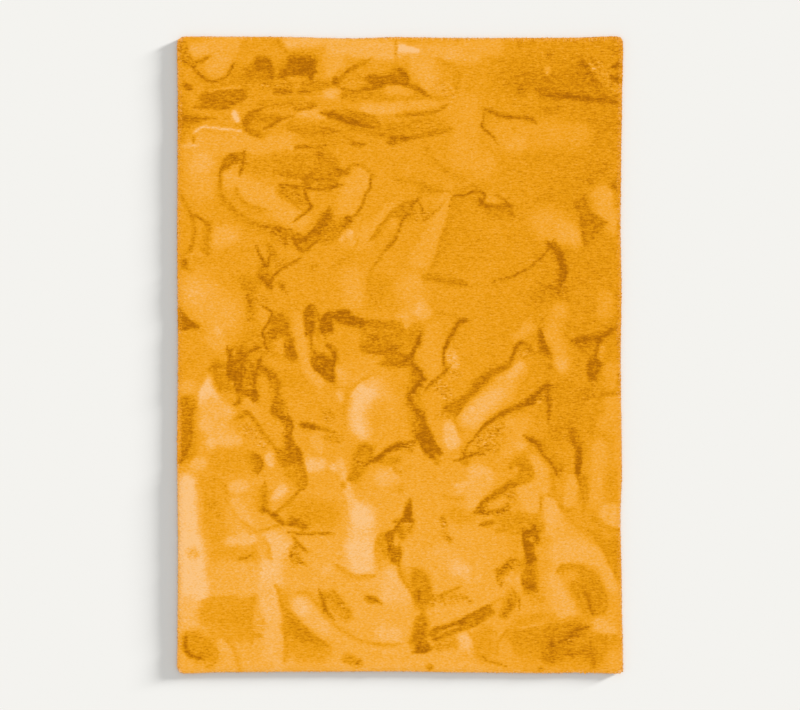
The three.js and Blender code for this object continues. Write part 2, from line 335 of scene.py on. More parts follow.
EDGES["top edge, right"] = as_edges([
    # tone, left, right, points
    (-0.6, 50, 4, (440, 812), (530, 814), (600, 806), (700, 790)),
    (-0.95, 12, 16, (470, 813), (530, 812), (570, 804), (620, 801), (680, 790)),
    (-0.75, 4, 42, (568, 935), (592, 900), (606, 870), (640, 842)),
    (-0.6, 4, 10, (598, 945), (604, 920), (612, 905)),
    (-1.0, 14, 8, (255, 778), (300, 755), (345, 744), (400, 741), (432, 724)),
    (-0.6, 7, 7, (267, 778), (262, 745), (257, 712)),
    (-0.95, 8, 9, (254, 732), (261, 713), (280, 695), (308, 662)),
])
CREASES["top edge, right"] = as_creases([
    # tone, width, points
    (0.5, 5, (600, 910), (615, 898)),
])

# %% The upper part, left
SWEEPS["upper part, left"] = as_sweeps([
    # x0, y0, x1, y1, bow, r0, r1, tone, fade, rough
    (-630, 600, -622, 535, 0, 45, 45, 0.28, 28, 0),
    (-625, 605, -615, 605, 0, 32, 32, 0.5, 14, 0),
    (-385, 598, -240, 600, 0, 38, 40, -0.25, 14, 0.05),
    (-465, 590, -420, 590, 0, 28, 28, -0.15, 14, 0),
    (-530, 550, -330, 440, 0, 32, 42, 0.3, 9, 0),
    (-565, 370, -535, 375, 0, 34, 30, 0.4, 14, 0),
    (-292, 542, -266, 572, 0, 17, 15, -0.5, 12, 0.1),
    (-410, 345, -396, 318, 0, 14, 13, -0.35, 10, 0.2),
    (-315, 425, -312, 425, 0, 25, 25, 0.3, 9, 0),
    (-362, 515, -315, 482, 0, 24, 26, -0.35, 8, 0.6),
    (-392, 388, -360, 365, 0, 20, 24, -0.4, 12, 0.7),
    (-254, 396, -230, 430, 0, 14, 18, -0.8, 12, 0.1),
    (-240, 372, -205, 382, 0, 20, 22, -0.45, 18, 0.1),
    (-600, 400, -608, 322, 0, 11, 11, -0.4, 12, 0.2),
    (-657, 338, -655, 334, 0, 6, 6, -0.7, 7, 0.3),
    (-612, 316, -610, 316, 0, 4, 4, -0.7, 5, 0.3),
    (-676, 290, -672, 276, 0, 12, 12, -0.65, 8, 0.6),
    (-546, 590, -536, 606, 0, 11, 13, -0.6, 8, 0.3),
    (-530, 612, -508, 612, 0, 14, 12, -0.6, 8, 0.9),
    (-428, 280, -425, 245, 0, 18, 20, -0.35, 12, 0.4),
    (-490, 238, -468, 205, 0, 14, 16, -0.4, 16, 0.3),
    (-380, 290, -378, 290, 0, 18, 18, -0.2, 10, 0.8),
    (-658, 262, -656, 262, 0, 10, 10, -0.3, 6, 0.8),
    (-325, 650, -285, 655, 0, 6, 6, -0.65, 6, 0.4),
    (-252, 645, -242, 605, 0, 9, 9, -0.5, 10, 0.5),
    (-275, 270, -262, 284, 0, 6, 6, -0.4, 8, 0.5),
    (-382, 224, -368, 208, 0, 5, 5, -0.6, 6, 0.5),
])
EDGES["upper part, left"] = as_edges([
    # tone, left, right, points
    (-0.5, 14, 14, (-700, 520), (-665, 460), (-648, 415), (-645, 370), (-655, 335), (-695, 305)),
    (-0.4, 12, 36, (-575, 545), (-535, 475), (-490, 435), (-440, 410), (-380, 402)),
    (-0.3, 12, 18, (-520, 530), (-500, 490), (-465, 468), (-400, 450)),
    (-0.85, 16, 4, (-465, 632), (-530, 630), (-555, 605), (-566, 565), (-562, 515)),
    (-0.95, 8, 12, (-484, 645), (-490, 605), (-504, 558)),
    (-0.65, 22, 5, (-390, 566), (-300, 553), (-200, 550)),
    (-0.95, 10, 8, (-378, 534), (-320, 528), (-290, 523), (-240, 520), (-170, 538)),
    (-0.95, 6, 14, (-306, 525), (-290, 490), (-277, 466), (-292, 447), (-342, 412)),
    (-0.75, 4, 16, (-432, 402), (-385, 400), (-340, 388)),
    (-0.85, 4, 48, (-322, 384), (-306, 368), (-280, 388), (-250, 416), (-220, 468)),
    (-0.9, 12, 12, (-342, 398), (-332, 362), (-312, 330), (-288, 336), (-250, 368)),
    (-0.95, 10, 9, (-648, 440), (-622, 424), (-596, 403)),
    (-0.9, 9, 14, (-448, 258), (-422, 230), (-400, 205)),
    (-0.95, 7, 12, (-412, 230), (-385, 262), (-355, 282), (-312, 304)),
])
CREASES["upper part, left"] = as_creases([
    # tone, width, points
    (0.5, 4, (-655, 315), (-610, 315)),
    (-0.8, 7, (-450, 342), (-432, 300), (-417, 277), (-406, 315)),
])

# %% The upper part, middle
SWEEPS["upper part, middle"] = as_sweeps([
    # x0, y0, x1, y1, bow, r0, r1, tone, fade, rough
    (220, 470, 200, 320, 0, 60, 60, -0.12, 20, 0),
    (-225, 600, -222, 545, 0, 28, 28, -0.35, 14, 0.3),
    (-250, 538, -205, 538, 0, 10, 10, -0.4, 8, 0.3),
    (-135, 552, -172, 452, 0, 42, 28, 0.25, 7, 0),
    (-205, 584, -200, 582, 0, 12, 12, -0.4, 12, 0.4),
    (-200, 572, -162, 574, 0, 11, 11, -0.6, 8, 0.2),
    (-230, 375, -175, 410, 0, 22, 18, -0.3, 14, 0.4),
    (-186, 358, -160, 385, 0, 6, 10, 0.5, 6, 0),
    (-152, 380, -148, 352, 0, 8, 10, 0.95, 7, 0),
    (-130, 355, -20, 445, 0, 30, 30, 0.25, 14, 0),
    (62, 300, 152, 495, -6, 32, 28, 0.24, 12, 0),
    (5, 442, 45, 442, 0, 24, 20, -0.3, 12, 0.2),
    (40, 435, 85, 440, 0, 18, 18, -0.12, 10, 0.6),
    (65, 518, 100, 515, 0, 12, 12, -0.3, 12, 0.1),
    (45, 232, 47, 230, 0, 22, 22, 0.4, 12, 0),
    (-165, 428, -158, 420, 0, 10, 8, -0.75, 6, 0.8),
    (-178, 405, -172, 402, 0, 5, 5, -0.75, 5, 0.6),
    (180, 620, 260, 600, 0, 30, 40, 0.15, 14, 0),
])
EDGES["upper part, middle"] = as_edges([
    # tone, left, right, points
    (-0.6, 10, 7, (-175, 580), (-140, 596), (-112, 587), (-86, 560), (-98, 555)),
    (-0.85, 9, 8, (-94, 560), (-94, 528), (-108, 503), (-120, 470), (-138, 442), (-165, 425)),
    (-0.5, 7, 40, (-100, 355), (-50, 425), (-10, 465), (66, 498)),
    (-0.95, 10, 9, (-2, 385), (5, 415), (18, 437), (40, 448)),
    (-0.9, 7, 9, (30, 430), (36, 465), (50, 483), (67, 468), (70, 435)),
    (-0.35, 18, 18, (-35, 556), (50, 541), (100, 522), (165, 512)),
    (-0.35, 7, 28, (78, 668), (100, 626), (130, 594), (210, 545)),
    (-0.3, 16, 12, (160, 512), (230, 526), (290, 524)),
    (-1.0, 8, 9, (156, 465), (165, 497), (200, 501), (235, 512), (264, 508), (264, 490), (246, 465)),
    (-0.3, 60, 3, (168, 505), (155, 450), (140, 400), (118, 340), (95, 260)),
    (-0.55, 36, 14, (62, 242), (110, 236), (160, 225), (220, 215)),
    (-0.9, 8, 6, (-6, 378), (-22, 352), (-50, 322)),
    (-0.45, 6, 4, (8, 408), (-12, 380), (-60, 310), (-88, 268), (-108, 200)),
    (-0.3, 8, 8, (-128, 365), (-150, 320), (-220, 270)),
])
CREASES["upper part, middle"] = as_creases([
    # tone, width, points
    (-0.5, 4, (75, 418), (110, 450), (135, 480)),
])

# %% The upper part, right
SWEEPS["upper part, right"] = as_sweeps([
    # x0, y0, x1, y1, bow, r0, r1, tone, fade, rough
    (275, 489, 325, 490, 0, 10, 10, 0.15, 6, 0),
    (285, 445, 335, 442, 0, 15, 15, -0.3, 16, 0.1),
    (460, 410, 490, 400, 0, 50, 48, 0.2, 26, 0),
    (528, 380, 545, 370, 0, 34, 30, 0.35, 16, 0),
    (500, 320, 505, 240, 8, 16, 18, -0.35, 16, 0.15),
    (485, 342, 508, 236, 12, 8, 12, -0.8, 10, 0.1),
    (590, 412, 610, 410, 0, 22, 22, -0.48, 10, 0.1),
    (582, 368, 588, 385, 0, 12, 18, -0.42, 10, 0.1),
    (562, 478, 575, 478, 0, 12, 14, -0.35, 10, 0.2),
    (635, 500, 640, 450, 0, 34, 26, 0.28, 14, 0),
    (670, 430, 672, 400, 0, 24, 24, 0.25, 12, 0),
    (684, 545, 686, 640, 0, 12, 14, -0.35, 14, 0.5),
    (668, 532, 682, 524, 0, 9, 9, -0.75, 9, 0.3),
    (580, 600, 680, 600, 0, 35, 35, -0.2, 18, 0.2),
    (600, 568, 650, 590, 0, 10, 10, -0.3, 10, 0.5),
    (590, 548, 596, 546, 0, 8, 8, -0.4, 8, 0.4),
    (570, 250, 610, 265, 0, 24, 20, -0.25, 18, 0.1),
    (690, 440, 690, 240, 0, 10, 10, -0.15, 8, 0.1),
    (468, 216, 500, 210, 0, 5, 7, -0.7, 6, 0.5),
])
EDGES["upper part, right"] = as_edges([
    # tone, left, right, points
    (-0.85, 4, 24, (246, 500), (262, 475), (300, 470), (360, 470)),
    (-0.75, 6, 14, (295, 502), (328, 488), (348, 462), (358, 428)),
    (-0.95, 4, 28, (457, 364), (485, 335), (504, 308), (517, 278), (520, 250), (498, 195)),
    (-0.85, 8, 8, (484, 365), (455, 320), (435, 297), (400, 272), (350, 248), (290, 230)),
    (-0.3, 18, 14, (420, 480), (500, 505), (555, 535)),
    (-0.65, 4, 34, (578, 502), (586, 465), (606, 440), (655, 412)),
    (-0.6, 30, 4, (540, 480), (562, 440), (570, 400), (580, 340)),
    (-0.5, 4, 26, (650, 418), (617, 378), (580, 345)),
])

# %% The middle part, left
SWEEPS["middle part, left"] = as_sweeps([
    # x0, y0, x1, y1, bow, r0, r1, tone, fade, rough
    (-455, 40, -385, 30, 0, 42, 38, -0.2, 20, 0.1),
    (-445, -50, -422, -95, 0, 26, 24, -0.3, 14, 0.1),
    (-640, 200, -560, 130, 0, 60, 60, 0.33, 30, 0),
    (-640, 190, -638, 190, 0, 28, 28, 0.48, 14, 0),
    (-580, 55, -565, 40, 0, 32, 28, 0.32, 14, 0),
    (-575, 75, -570, 70, 0, 12, 12, 0.6, 7, 0),
    (-692, 122, -680, 98, 0, 9, 18, -0.8, 4, 0.1),
    (-675, 94, -645, 92, 0, 13, 6, -0.75, 4, 0.1),
    (-480, 225, -445, 225, 0, 14, 14, -0.3, 9, 0.3),
    (-412, 228, -408, 220, 0, 14, 12, -0.65, 8, 0.4),
    (-372, 222, -370, 222, 0, 10, 10, -0.4, 6, 0.7),
    (-468, 185, -465, 115, 0, 13, 15, -0.28, 12, 0.4),
    (-472, 168, -471, 162, 0, 8, 8, -0.6, 5, 0.7),
    (-440, 172, -425, 172, 0, 14, 14, -0.2, 8, 0.6),
    (-432, 145, -428, 110, 0, 12, 12, 0.2, 8, 0),
    (-378, 106, -372, 80, 0, 30, 30, -0.42, 12, 0.05),
    (-402, 65, -398, 60, 0, 12, 12, -0.5, 7, 0.6),
    (-375, 32, -372, 26, 0, 22, 22, 0.1, 8, 0.2),
    (-342, 38, -336, 0, 0, 18, 20, -0.72, 12, 0.2),
    (-350, 24, -350, 14, 0, 9, 9, -0.85, 7, 0.2),
    (-355, -72, -320, -80, 0, 26, 24, -0.12, 14, 0),
    (-316, 108, -288, -45, -8, 18, 16, 0.3, 12, 0),
    (-290, -45, -250, -92, 0, 14, 13, 0.36, 9, 0),
    (-283, 138, -278, 70, 0, 15, 12, -0.7, 8, 0.4),
    (-268, 8, -266, -5, 0, 9, 9, -0.55, 6, 0.5),
    (-500, 0, -488, -108, 0, 36, 36, -0.35, 16, 0.1),
    (-531, 18, -531, -40, 0, 6, 9, -0.6, 5, 0.2),
    (-503, 18, -508, -35, 0, 7, 8, -0.6, 5, 0.2),
    (-520, 10, -519, 10, 0, 6, 6, 0.2, 4, 0),
    (-519, -30, -524, -65, 0, 14, 18, -0.78, 7, 0.3),
    (-512, -80, -508, -108, 0, 10, 10, -0.55, 7, 0.3),
    (-508, -113, -472, -118, 0, 8, 7, -0.5, 6, 0.4),
    (-488, -2, -450, 22, 0, 9, 8, -0.5, 7, 0.4),
    (-478, -28, -462, -44, 0, 14, 14, -0.42, 6, 0.6),
    (-440, -18, -450, -45, 0, 9, 6, -0.65, 5, 0.2),
    (-457, -55, -456, -115, 0, 5, 7, -0.65, 5, 0.2),
    (-457, -122, -447, -142, 0, 12, 7, -0.75, 6, 0.2),
    (-485, -85, -480, -85, 0, 14, 14, -0.4, 8, 0.4),
    (-428, -85, -425, -160, 0, 15, 17, 0.05, 10, 0),
    (-412, -50, -405, -70, 0, 12, 10, -0.5, 7, 0.8),
    (-400, -62, -378, -86, 0, 6, 6, -0.45, 5, 0.2),
    (-388, -110, -390, -165, 0, 9, 10, -0.45, 7, 0.6),
    (-374, -145, -366, -180, 0, 12, 13, -0.42, 10, 0.2),
    (-580, -28, -552, -30, 0, 14, 12, -0.3, 9, 0.1),
    (-585, -42, -565, -52, 0, 13, 14, -0.4, 8, 0.1),
    (-562, -68, -548, -98, 0, 20, 17, -0.38, 9, 0.1),
    (-565, -112, -522, -118, 0, 7, 7, -0.2, 7, 0.3),
    (-595, -72, -595, -146, -8, 10, 38, 1.0, 9, 0),
    (-590, -160, -545, -180, 0, 32, 24, 0.55, 12, 0),
    (-668, -108, -662, -98, 0, 26, 24, 0.38, 10, 0),
    (-665, -150, -662, -165, 0, 20, 20, -0.45, 9, 0.7),
    (-520, -155, -503, -145, 0, 5, 9, -0.6, 4, 0.3),
    (-480, -145, -450, -180, 0, 14, 16, 0.25, 8, 0),
])
CREASES["middle part, left"] = as_creases([
    # tone, width, points
    (-0.5, 6, (-532, 22), (-515, 24), (-500, 20)),
    (-0.9, 6, (-410, 105), (-425, 85), (-433, 70), (-425, 50), (-422, 32), (-412, 11)),
    (-0.6, 6, (-382, 225), (-370, 215), (-360, 200), (-352, 193)),
])
EDGES["middle part, left"] = as_edges([
    # tone, left, right, points
    (-0.9, 4, 30, (-696, 148), (-666, 115), (-628, 84)),
    (-0.75, 4, 20, (-622, 93), (-660, 82), (-705, 76)),
    (-0.9, 9, 5, (-440, 158), (-412, 143), (-403, 128), (-413, 92)),
    (-0.6, 10, 26, (-418, 104), (-395, 112), (-365, 106), (-345, 84)),
    (-0.8, 6, 10, (-420, 66), (-405, 78), (-372, 80), (-345, 62)),
    (-0.55, 18, 14, (-352, 56), (-360, 20), (-348, -22)),
    (-0.85, 4, 24, (-294, 58), (-298, 105), (-294, 145), (-268, 162)),
    (-0.6, 3, 12, (-275, 160), (-262, 142), (-252, 100), (-255, 52)),
    (-0.8, 5, 8, (-284, 85), (-278, 40), (-272, -5)),
    (-0.9, 36, 4, (-284, -2), (-272, -40), (-245, -62), (-205, -92)),
    (-0.9, 5, 18, (-236, 42), (-213, 15), (-205, -15), (-212, -88)),
    (-0.9, 14, 4, (-542, 30), (-536, -5), (-541, -45), (-535, -82)),
    (-0.9, 5, 13, (-499, 30), (-498, -30), (-500, -80), (-508, -122)),
    (-0.8, 14, 4, (-520, -72), (-516, -110), (-480, -125), (-455, -150)),
    (-0.95, 10, 9, (-430, 5), (-446, -35), (-456, -70), (-460, -148)),
    (-0.95, 9, 9, (-430, 24), (-475, 10), (-490, -12), (-486, -62)),
    (-0.9, 12, 8, (-440, -34), (-415, -58), (-402, -95)),
    (-0.6, 22, 22, (-402, -45), (-388, -80), (-386, -120), (-396, -180)),
    (-0.9, 12, 8, (-408, -172), (-395, -190), (-365, -198), (-335, -225)),
    (-0.45, 5, 34, (-538, -40), (-578, -45), (-572, -85), (-545, -112)),
    (-0.6, 8, 8, (-506, -200), (-492, -184), (-472, -180), (-440, -222)),
    (-0.85, 6, 6, (-480, 192), (-472, 165), (-462, 145)),
])

# %% The middle part, middle
SWEEPS["middle part, middle"] = as_sweeps([
    # x0, y0, x1, y1, bow, r0, r1, tone, fade, rough
    (-150, 240, -145, 170, 0, 35, 32, 0.25, 12, 0),
    (-70, 225, -75, 175, 0, 30, 30, -0.15, 14, 0.1),
    (30, 215, 50, 150, 0, 40, 36, 0.28, 22, 0),
    (66, 150, 66, 134, 0, 16, 20, 0.6, 14, 0),
    (-5, 123, 20, 122, 0, 9, 12, 0.4, 8, 0),
    (80, 132, 84, 128, 0, 14, 14, 0.4, 10, 0),
    (0, 55, 50, 58, 0, 38, 34, -0.32, 18, 0.05),
    (-88, 68, -50, 62, 0, 36, 36, -0.32, 18, 0.2),
    (20, 100, 21, 84, 0, 17, 5, 0.35, 5, 0),
    (-90, 55, -74, 46, 0, 9, 9, -0.5, 6, 0.9),
    (-40, 25, -15, 20, 0, 14, 14, -0.6, 10, 0.9),
    (-115, 25, -100, 16, 0, 11, 11, -0.55, 7, 0.5),
    (-100, 24, -50, 22, 0, 18, 18, -0.4, 10, 0.1),
    (-35, -18, 25, -18, 0, 18, 20, -0.48, 10, 0.1),
    (48, -55, 48, -95, 0, 18, 16, -0.4, 12, 0.2),
    (104, 80, 110, -70, -8, 24, 24, 0.16, 14, 0),
    (58, 50, 42, 8, 0, 9, 6, -0.62, 5, 0.3),
    (38, 2, 24, -18, 0, 7, 12, -0.7, 6, 0.5),
    (-150, -45, -70, -35, 0, 30, 28, 0.15, 16, 0),
    (-190, -55, -175, -75, 0, 18, 18, 0.38, 10, 0),
    (-190, -120, -182, -140, 0, 11, 11, 0.55, 6, 0),
    (-246, -18, -220, -66, 0, 24, 18, -0.75, 7, 0.4),
    (-220, -25, -218, -75, 0, 10, 10, -0.7, 5, 0.4),
    (-208, 10, -202, -10, 0, 8, 9, -0.6, 5, 0.3),
    (-217, 32, -205, 18, 0, 5, 5, -0.55, 4, 0.2),
    (-85, -120, -80, -215, 0, 62, 66, 0.36, 30, 0),
    (-105, -112, -112, -190, 0, 46, 52, 0.6, 20, 0),
    (-112, -120, -112, -218, 0, 36, 40, 0.9, 16, 0),
    (-100, -88, -84, -72, 0, 12, 7, 0.5, 7, 0),
    (-233, 100, -215, 126, 8, 12, 13, -0.62, 6, 0.4),
    (-210, 126, -195, 120, 0, 11, 11, -0.65, 6, 0.4),
    (-186, 119, -168, 120, 0, 20, 20, -0.85, 7, 0.4),
    (-172, 106, -122, 95, 0, 13, 11, -0.82, 7, 0.3),
    (-128, 96, -120, 93, 0, 10, 9, -0.65, 5, 0.5),
    (-238, 100, -232, 66, -6, 6, 5, -0.7, 5, 0.3),
    (-222, 102, -220, 78, 0, 14, 11, -0.8, 7, 0.4),
    (40, -100, 40, -150, 0, 24, 24, -0.28, 16, 0.4),
    (66, -55, 74, -78, 0, 9, 10, -0.55, 6, 0.6),
    (68, -90, 52, -104, 0, 9, 9, -0.55, 6, 0.7),
    (44, -110, 32, -132, 0, 8, 9, -0.5, 7, 0.7),
    (34, -138, 48, -168, 0, 8, 8, -0.5, 6, 0.5),
    (152, -168, 196, -150, 0, 20, 18, -0.48, 10, 0.1),
    (162, 2, 168, -30, 0, 17, 18, 0.4, 6, 0.8),
    (170, -60, 180, -62, 0, 14, 12, 0, 8, 0.9),
    (120, -90, 150, -125, 0, 22, 20, 0, 10, 0.85),
])
CREASES["middle part, middle"] = as_creases([
    # tone, width, points
    (-0.5, 6, (-115, 107), (-85, 107), (-55, 107)),
    (-0.25, 4, (-55, 107), (0, 105)),
    (0.5, 5, (112, -120), (140, -136)),
    (-0.5, 5, (110, -113), (145, -130)),
    (-0.4, 4, (108, 134), (150, 128), (188, 112)),
])
EDGES["middle part, middle"] = as_edges([
    # tone, left, right, points
    (-0.7, 3, 30, (-135, 110), (-80, 106), (-40, 106), (10, 98)),
    (-0.9, 4, 28, (-234, 52), (-249, 85), (-244, 112), (-226, 132), (-180, 142)),
    (-0.9, 4, 28, (-200, 138), (-178, 142), (-155, 124), (-120, 110), (-98, 106)),
    (-0.6, 34, 5, (-130, 15), (-100, 6), (-50, 3), (20, 0)),
    (-0.6, 26, 4, (-75, -28), (-20, -36), (40, -30)),
    (-0.95, 8, 14, (64, 76), (58, 42), (44, 12), (30, -12), (-5, -30)),
    (-0.95, 6, 42, (38, -22), (66, -52), (70, -76), (52, -103)),
    (-0.9, 12, 13, (62, -92), (40, -110), (28, -135), (42, -160), (62, -188), (80, -238)),
    (-1.0, 16, 17, (216, 108), (186, 106), (168, 74), (148, 40), (138, 5)),
    (-1.0, 8, 10, (139, 30), (138, 0), (139, -28), (146, -54)),
    (-0.95, 15, 8, (158, -34), (132, -58), (102, -82), (74, -114)),
    (-0.6, 4, 38, (345, -36), (305, -52), (262, -78), (234, -110), (208, -145), (188, -175), (172, -200)),
    (-0.1, 3, 24, (-60, -52), (-122, -84), (-156, -118), (-170, -160), (-170, -225)),
])

# %% The middle part, right
SWEEPS["middle part, right"] = as_sweeps([
    # x0, y0, x1, y1, bow, r0, r1, tone, fade, rough
    (520, -120, 580, -230, 0, 60, 60, -0.2, 30, 0.1),
    (445, 188, 495, 195, 0, 28, 28, -0.34, 18, 0.2),
    (512, 225, 505, 200, 0, 10, 12, -0.45, 8, 0.7),
    (642, 180, 645, 135, 0, 24, 24, 0.12, 14, 0),
    (500, 140, 475, 60, 0, 26, 22, 0.2, 16, 0),
    (475, 60, 512, -35, 8, 22, 26, 0.2, 16, 0),
    (502, -25, 508, -38, 0, 18, 14, 0.45, 9, 0),
    (405, 90, 366, 55, 0, 18, 14, 0.25, 12, 0),
    (440, 66, 450, 18, 0, 6, 15, -0.6, 7, 0.3),
    (466, -38, 472, -44, 0, 11, 10, -0.35, 9, 0.1),
    (375, 8, 405, 8, 0, 10, 10, -0.05, 6, 0.9),
    (375, -40, 330, -90, 0, 22, 34, 0.3, 14, 0),
    (380, -28, 345, -68, 0, 9, 12, 0.6, 8, 0),
    (322, -112, 226, -196, 0, 34, 36, 0.38, 14, 0),
    (300, -120, 222, -198, 0, 20, 26, 0.62, 14, 0),
    (352, -8, 345, -25, 0, 7, 8, -0.42, 7, 0.1),
    (340, -32, 300, -54, 0, 12, 10, -0.42, 10, 0.1),
    (298, -56, 262, -76, 0, 9, 12, -0.55, 8, 0.1),
    (262, -78, 228, -118, 0, 14, 9, -0.62, 8, 0.2),
    (415, -150, 450, -130, 0, 12, 12, -0.2, 8, 0.9),
    (445, -114, 398, -146, 0, 10, 13, -0.6, 7, 0.6),
    (463, -85, 470, -110, 0, 7, 9, -0.55, 6, 0.4),
    (470, -110, 468, -195, 0, 7, 8, -0.4, 8, 0.1),
    (570, 22, 608, 20, 0, 18, 18, -0.36, 16, 0),
    (560, 38, 622, 50, 0, 14, 13, -0.55, 12, 0.1),
    (604, -18, 630, -26, 0, 14, 11, -0.75, 6, 0.6),
    (606, -35, 604, -72, 0, 20, 15, -0.75, 7, 0.5),
    (662, -45, 665, -80, 0, 26, 24, 0.15, 12, 0),
    (632, 20, 635, 0, 0, 10, 10, 0.1, 5, 0.8),
    (690, -65, 688, -90, 0, 8, 8, -0.3, 6, 0.7),
    (560, -128, 610, -118, 0, 20, 18, -0.25, 14, 0.3),
    (668, -150, 670, -180, 0, 28, 28, 0.2, 14, 0),
])
CREASES["middle part, right"] = as_creases([
    # tone, width, points
    (-0.4, 7, (678, 82), (688, 62)),
    (-0.45, 9, (570, -142), (620, -130), (660, -123), (695, -120)),
])
EDGES["middle part, right"] = as_edges([
    # tone, left, right, points
    (-0.55, 26, 5, (425, 5), (405, 30), (382, 44), (358, 28), (352, 0)),
    (-0.95, 14, 6, (392, 42), (366, 32), (354, 5), (345, -25)),
    (-0.95, 4, 24, (438, 88), (450, 48), (463, 18), (476, -10)),
    (-0.25, 5, 12, (470, 0), (478, -25), (480, -60)),
    (-0.95, 20, 14, (482, -96), (452, -98), (416, -136), (388, -155), (345, -170), (298, -197), (240, -243)),
    (-0.85, 11, 11, (466, -80), (462, -125), (468, -160), (463, -215)),
    (-0.9, 26, 16, (535, 46), (590, 50), (630, 56), (662, 76), (692, 90)),
    (-0.7, 6, 10, (672, 84), (684, 80), (688, 55), (684, 30)),
    (-1.0, 8, 13, (628, 66), (622, 25), (614, -15)),
    (-0.35, 4, 16, (612, -80), (590, -95), (575, -135), (560, -190)),
    (-0.6, 12, 12, (425, 228), (470, 210), (540, 200)),
])

# %% The lower part, left
SWEEPS["lower part, left"] = as_sweeps([
    # x0, y0, x1, y1, bow, r0, r1, tone, fade, rough
    (-665, -150, -665, -320, 0, 26, 22, -0.28, 18, 0.2),
    (-675, -140, -672, -250, 0, 14, 14, -0.52, 8, 0.4),
    (-672, -250, -688, -335, 4, 13, 7, -0.6, 8, 0.2),
    (-590, -190, -560, -260, 0, 42, 44, 0.48, 12, 0),
    (-612, -215, -608, -222, 0, 18, 18, 0.6, 9, 0),
    (-592, -272, -588, -280, 0, 14, 12, 0.75, 7, 0),
    (-570, -268, -515, -268, 0, 18, 18, 0.6, 9, 0),
    (-560, -330, -490, -330, 0, 40, 36, -0.02, 8, 0.1),
    (-510, -197, -497, -194, 0, 6, 8, -0.4, 6, 0.3),
    (-485, -225, -465, -245, 0, 18, 18, 0.05, 8, 0.95),
    (-465, -250, -430, -278, 0, 18, 16, 0.1, 8, 0.95),
    (-345, -345, -320, -395, 0, 34, 26, -0.2, 16, 0.2),
    (-395, -168, -366, -195, 0, 12, 11, -0.65, 6, 0.6),
    (-366, -195, -348, -230, 0, 11, 13, -0.58, 7, 0.7),
    (-354, -250, -350, -262, 0, 15, 14, -0.35, 8, 0.95),
    (-348, -270, -336, -325, 0, 14, 22, -0.62, 8, 0.4),
    (-375, -305, -368, -335, 0, 14, 14, -0.45, 8, 0.6),
    (-318, -315, -306, -345, 0, 11, 10, -0.6, 5, 0.3),
    (-306, -345, -300, -372, 0, 9, 8, -0.52, 6, 0.4),
    (-312, -408, -308, -414, 0, 9, 9, -0.38, 7, 0.6),
    (-296, -222, -266, -226, 0, 13, 10, -0.68, 6, 0.7),
    (-262, -265, -255, -290, 0, 18, 20, 0.4, 9, 0),
    (-278, -345, -250, -345, 0, 24, 20, 0.75, 8, 0),
    (-412, -322, -406, -338, 0, 16, 14, 0.75, 7, 0),
    (-462, -320, -450, -355, 6, 20, 20, -0.3, 14, 0.2),
    (-668, -400, -662, -600, 0, 28, 34, 1.0, 12, 0),
    (-640, -345, -625, -340, 0, 20, 18, 0.5, 9, 0),
    (-595, -410, -575, -560, 0, 34, 34, 0, 9, 0.1),
    (-592, -465, -590, -475, 0, 13, 12, -0.2, 8, 0.4),
    (-569, -500, -567, -502, 0, 6, 6, -0.65, 4, 0.5),
    (-515, -415, -492, -410, 0, 20, 18, 0.65, 8, 0),
    (-522, -470, -478, -548, 6, 26, 28, 0.5, 10, 0),
    (-430, -430, -432, -470, 0, 18, 18, -0.25, 14, 0),
    (-432, -484, -414, -490, 0, 11, 10, -0.4, 8, 0.1),
    (-395, -502, -375, -520, 0, 10, 11, -0.7, 6, 0.2),
    (-325, -492, -230, -500, 0, 42, 40, -0.1, 24, 0),
    (-335, -522, -300, -536, 0, 14, 13, -0.62, 9, 0.1),
    (-392, -446, -368, -422, 0, 12, 17, 0.8, 7, 0),
    (-405, -582, -375, -600, 0, 32, 34, 0.75, 9, 0),
    (-528, -590, -466, -576, 0, 20, 17, 0.7, 9, 0),
])
EDGES["lower part, left"] = as_edges([
    # tone, left, right, points
    (-0.7, 6, 24, (-650, -150), (-652, -200), (-658, -280), (-674, -315), (-698, -345)),
    (0.05, 4, 48, (-595, -378), (-556, -402), (-540, -440), (-550, -500), (-550, -570)),
    (-0.3, 3, 10, (-585, -385), (-552, -408), (-542, -440)),
    (0.05, 3, 26, (-545, -430), (-522, -490), (-490, -525), (-435, -558)),
    (-0.65, 5, 36, (-466, -298), (-438, -320), (-431, -348), (-448, -382)),
    (-0.8, 4, 32, (-352, -185), (-337, -215), (-342, -245), (-336, -274), (-315, -296), (-305, -360)),
    (-0.4, 4, 44, (-302, -325), (-296, -360), (-290, -400), (-300, -425)),
    (-0.55, 12, 12, (-505, -184), (-476, -186), (-456, -208), (-433, -240), (-406, -274), (-370, -318)),
    (-0.8, 11, 12, (-322, -222), (-296, -218), (-264, -226), (-205, -242)),
    (-0.5, 6, 14, (-400, -505), (-370, -475), (-340, -448), (-300, -410)),
    (-0.5, 18, 12, (-425, -400), (-425, -450), (-428, -500)),
    (-0.9, 9, 9, (-430, -480), (-408, -492), (-388, -510), (-364, -528), (-320, -534)),
    (-0.4, 4, 8, (-470, -560), (-405, -541), (-350, -530)),
    (-1.0, 10, 8, (-355, -558), (-300, -561), (-250, -559), (-205, -561)),
    (-0.85, 4, 16, (-340, -568), (-312, -595), (-286, -620)),
])

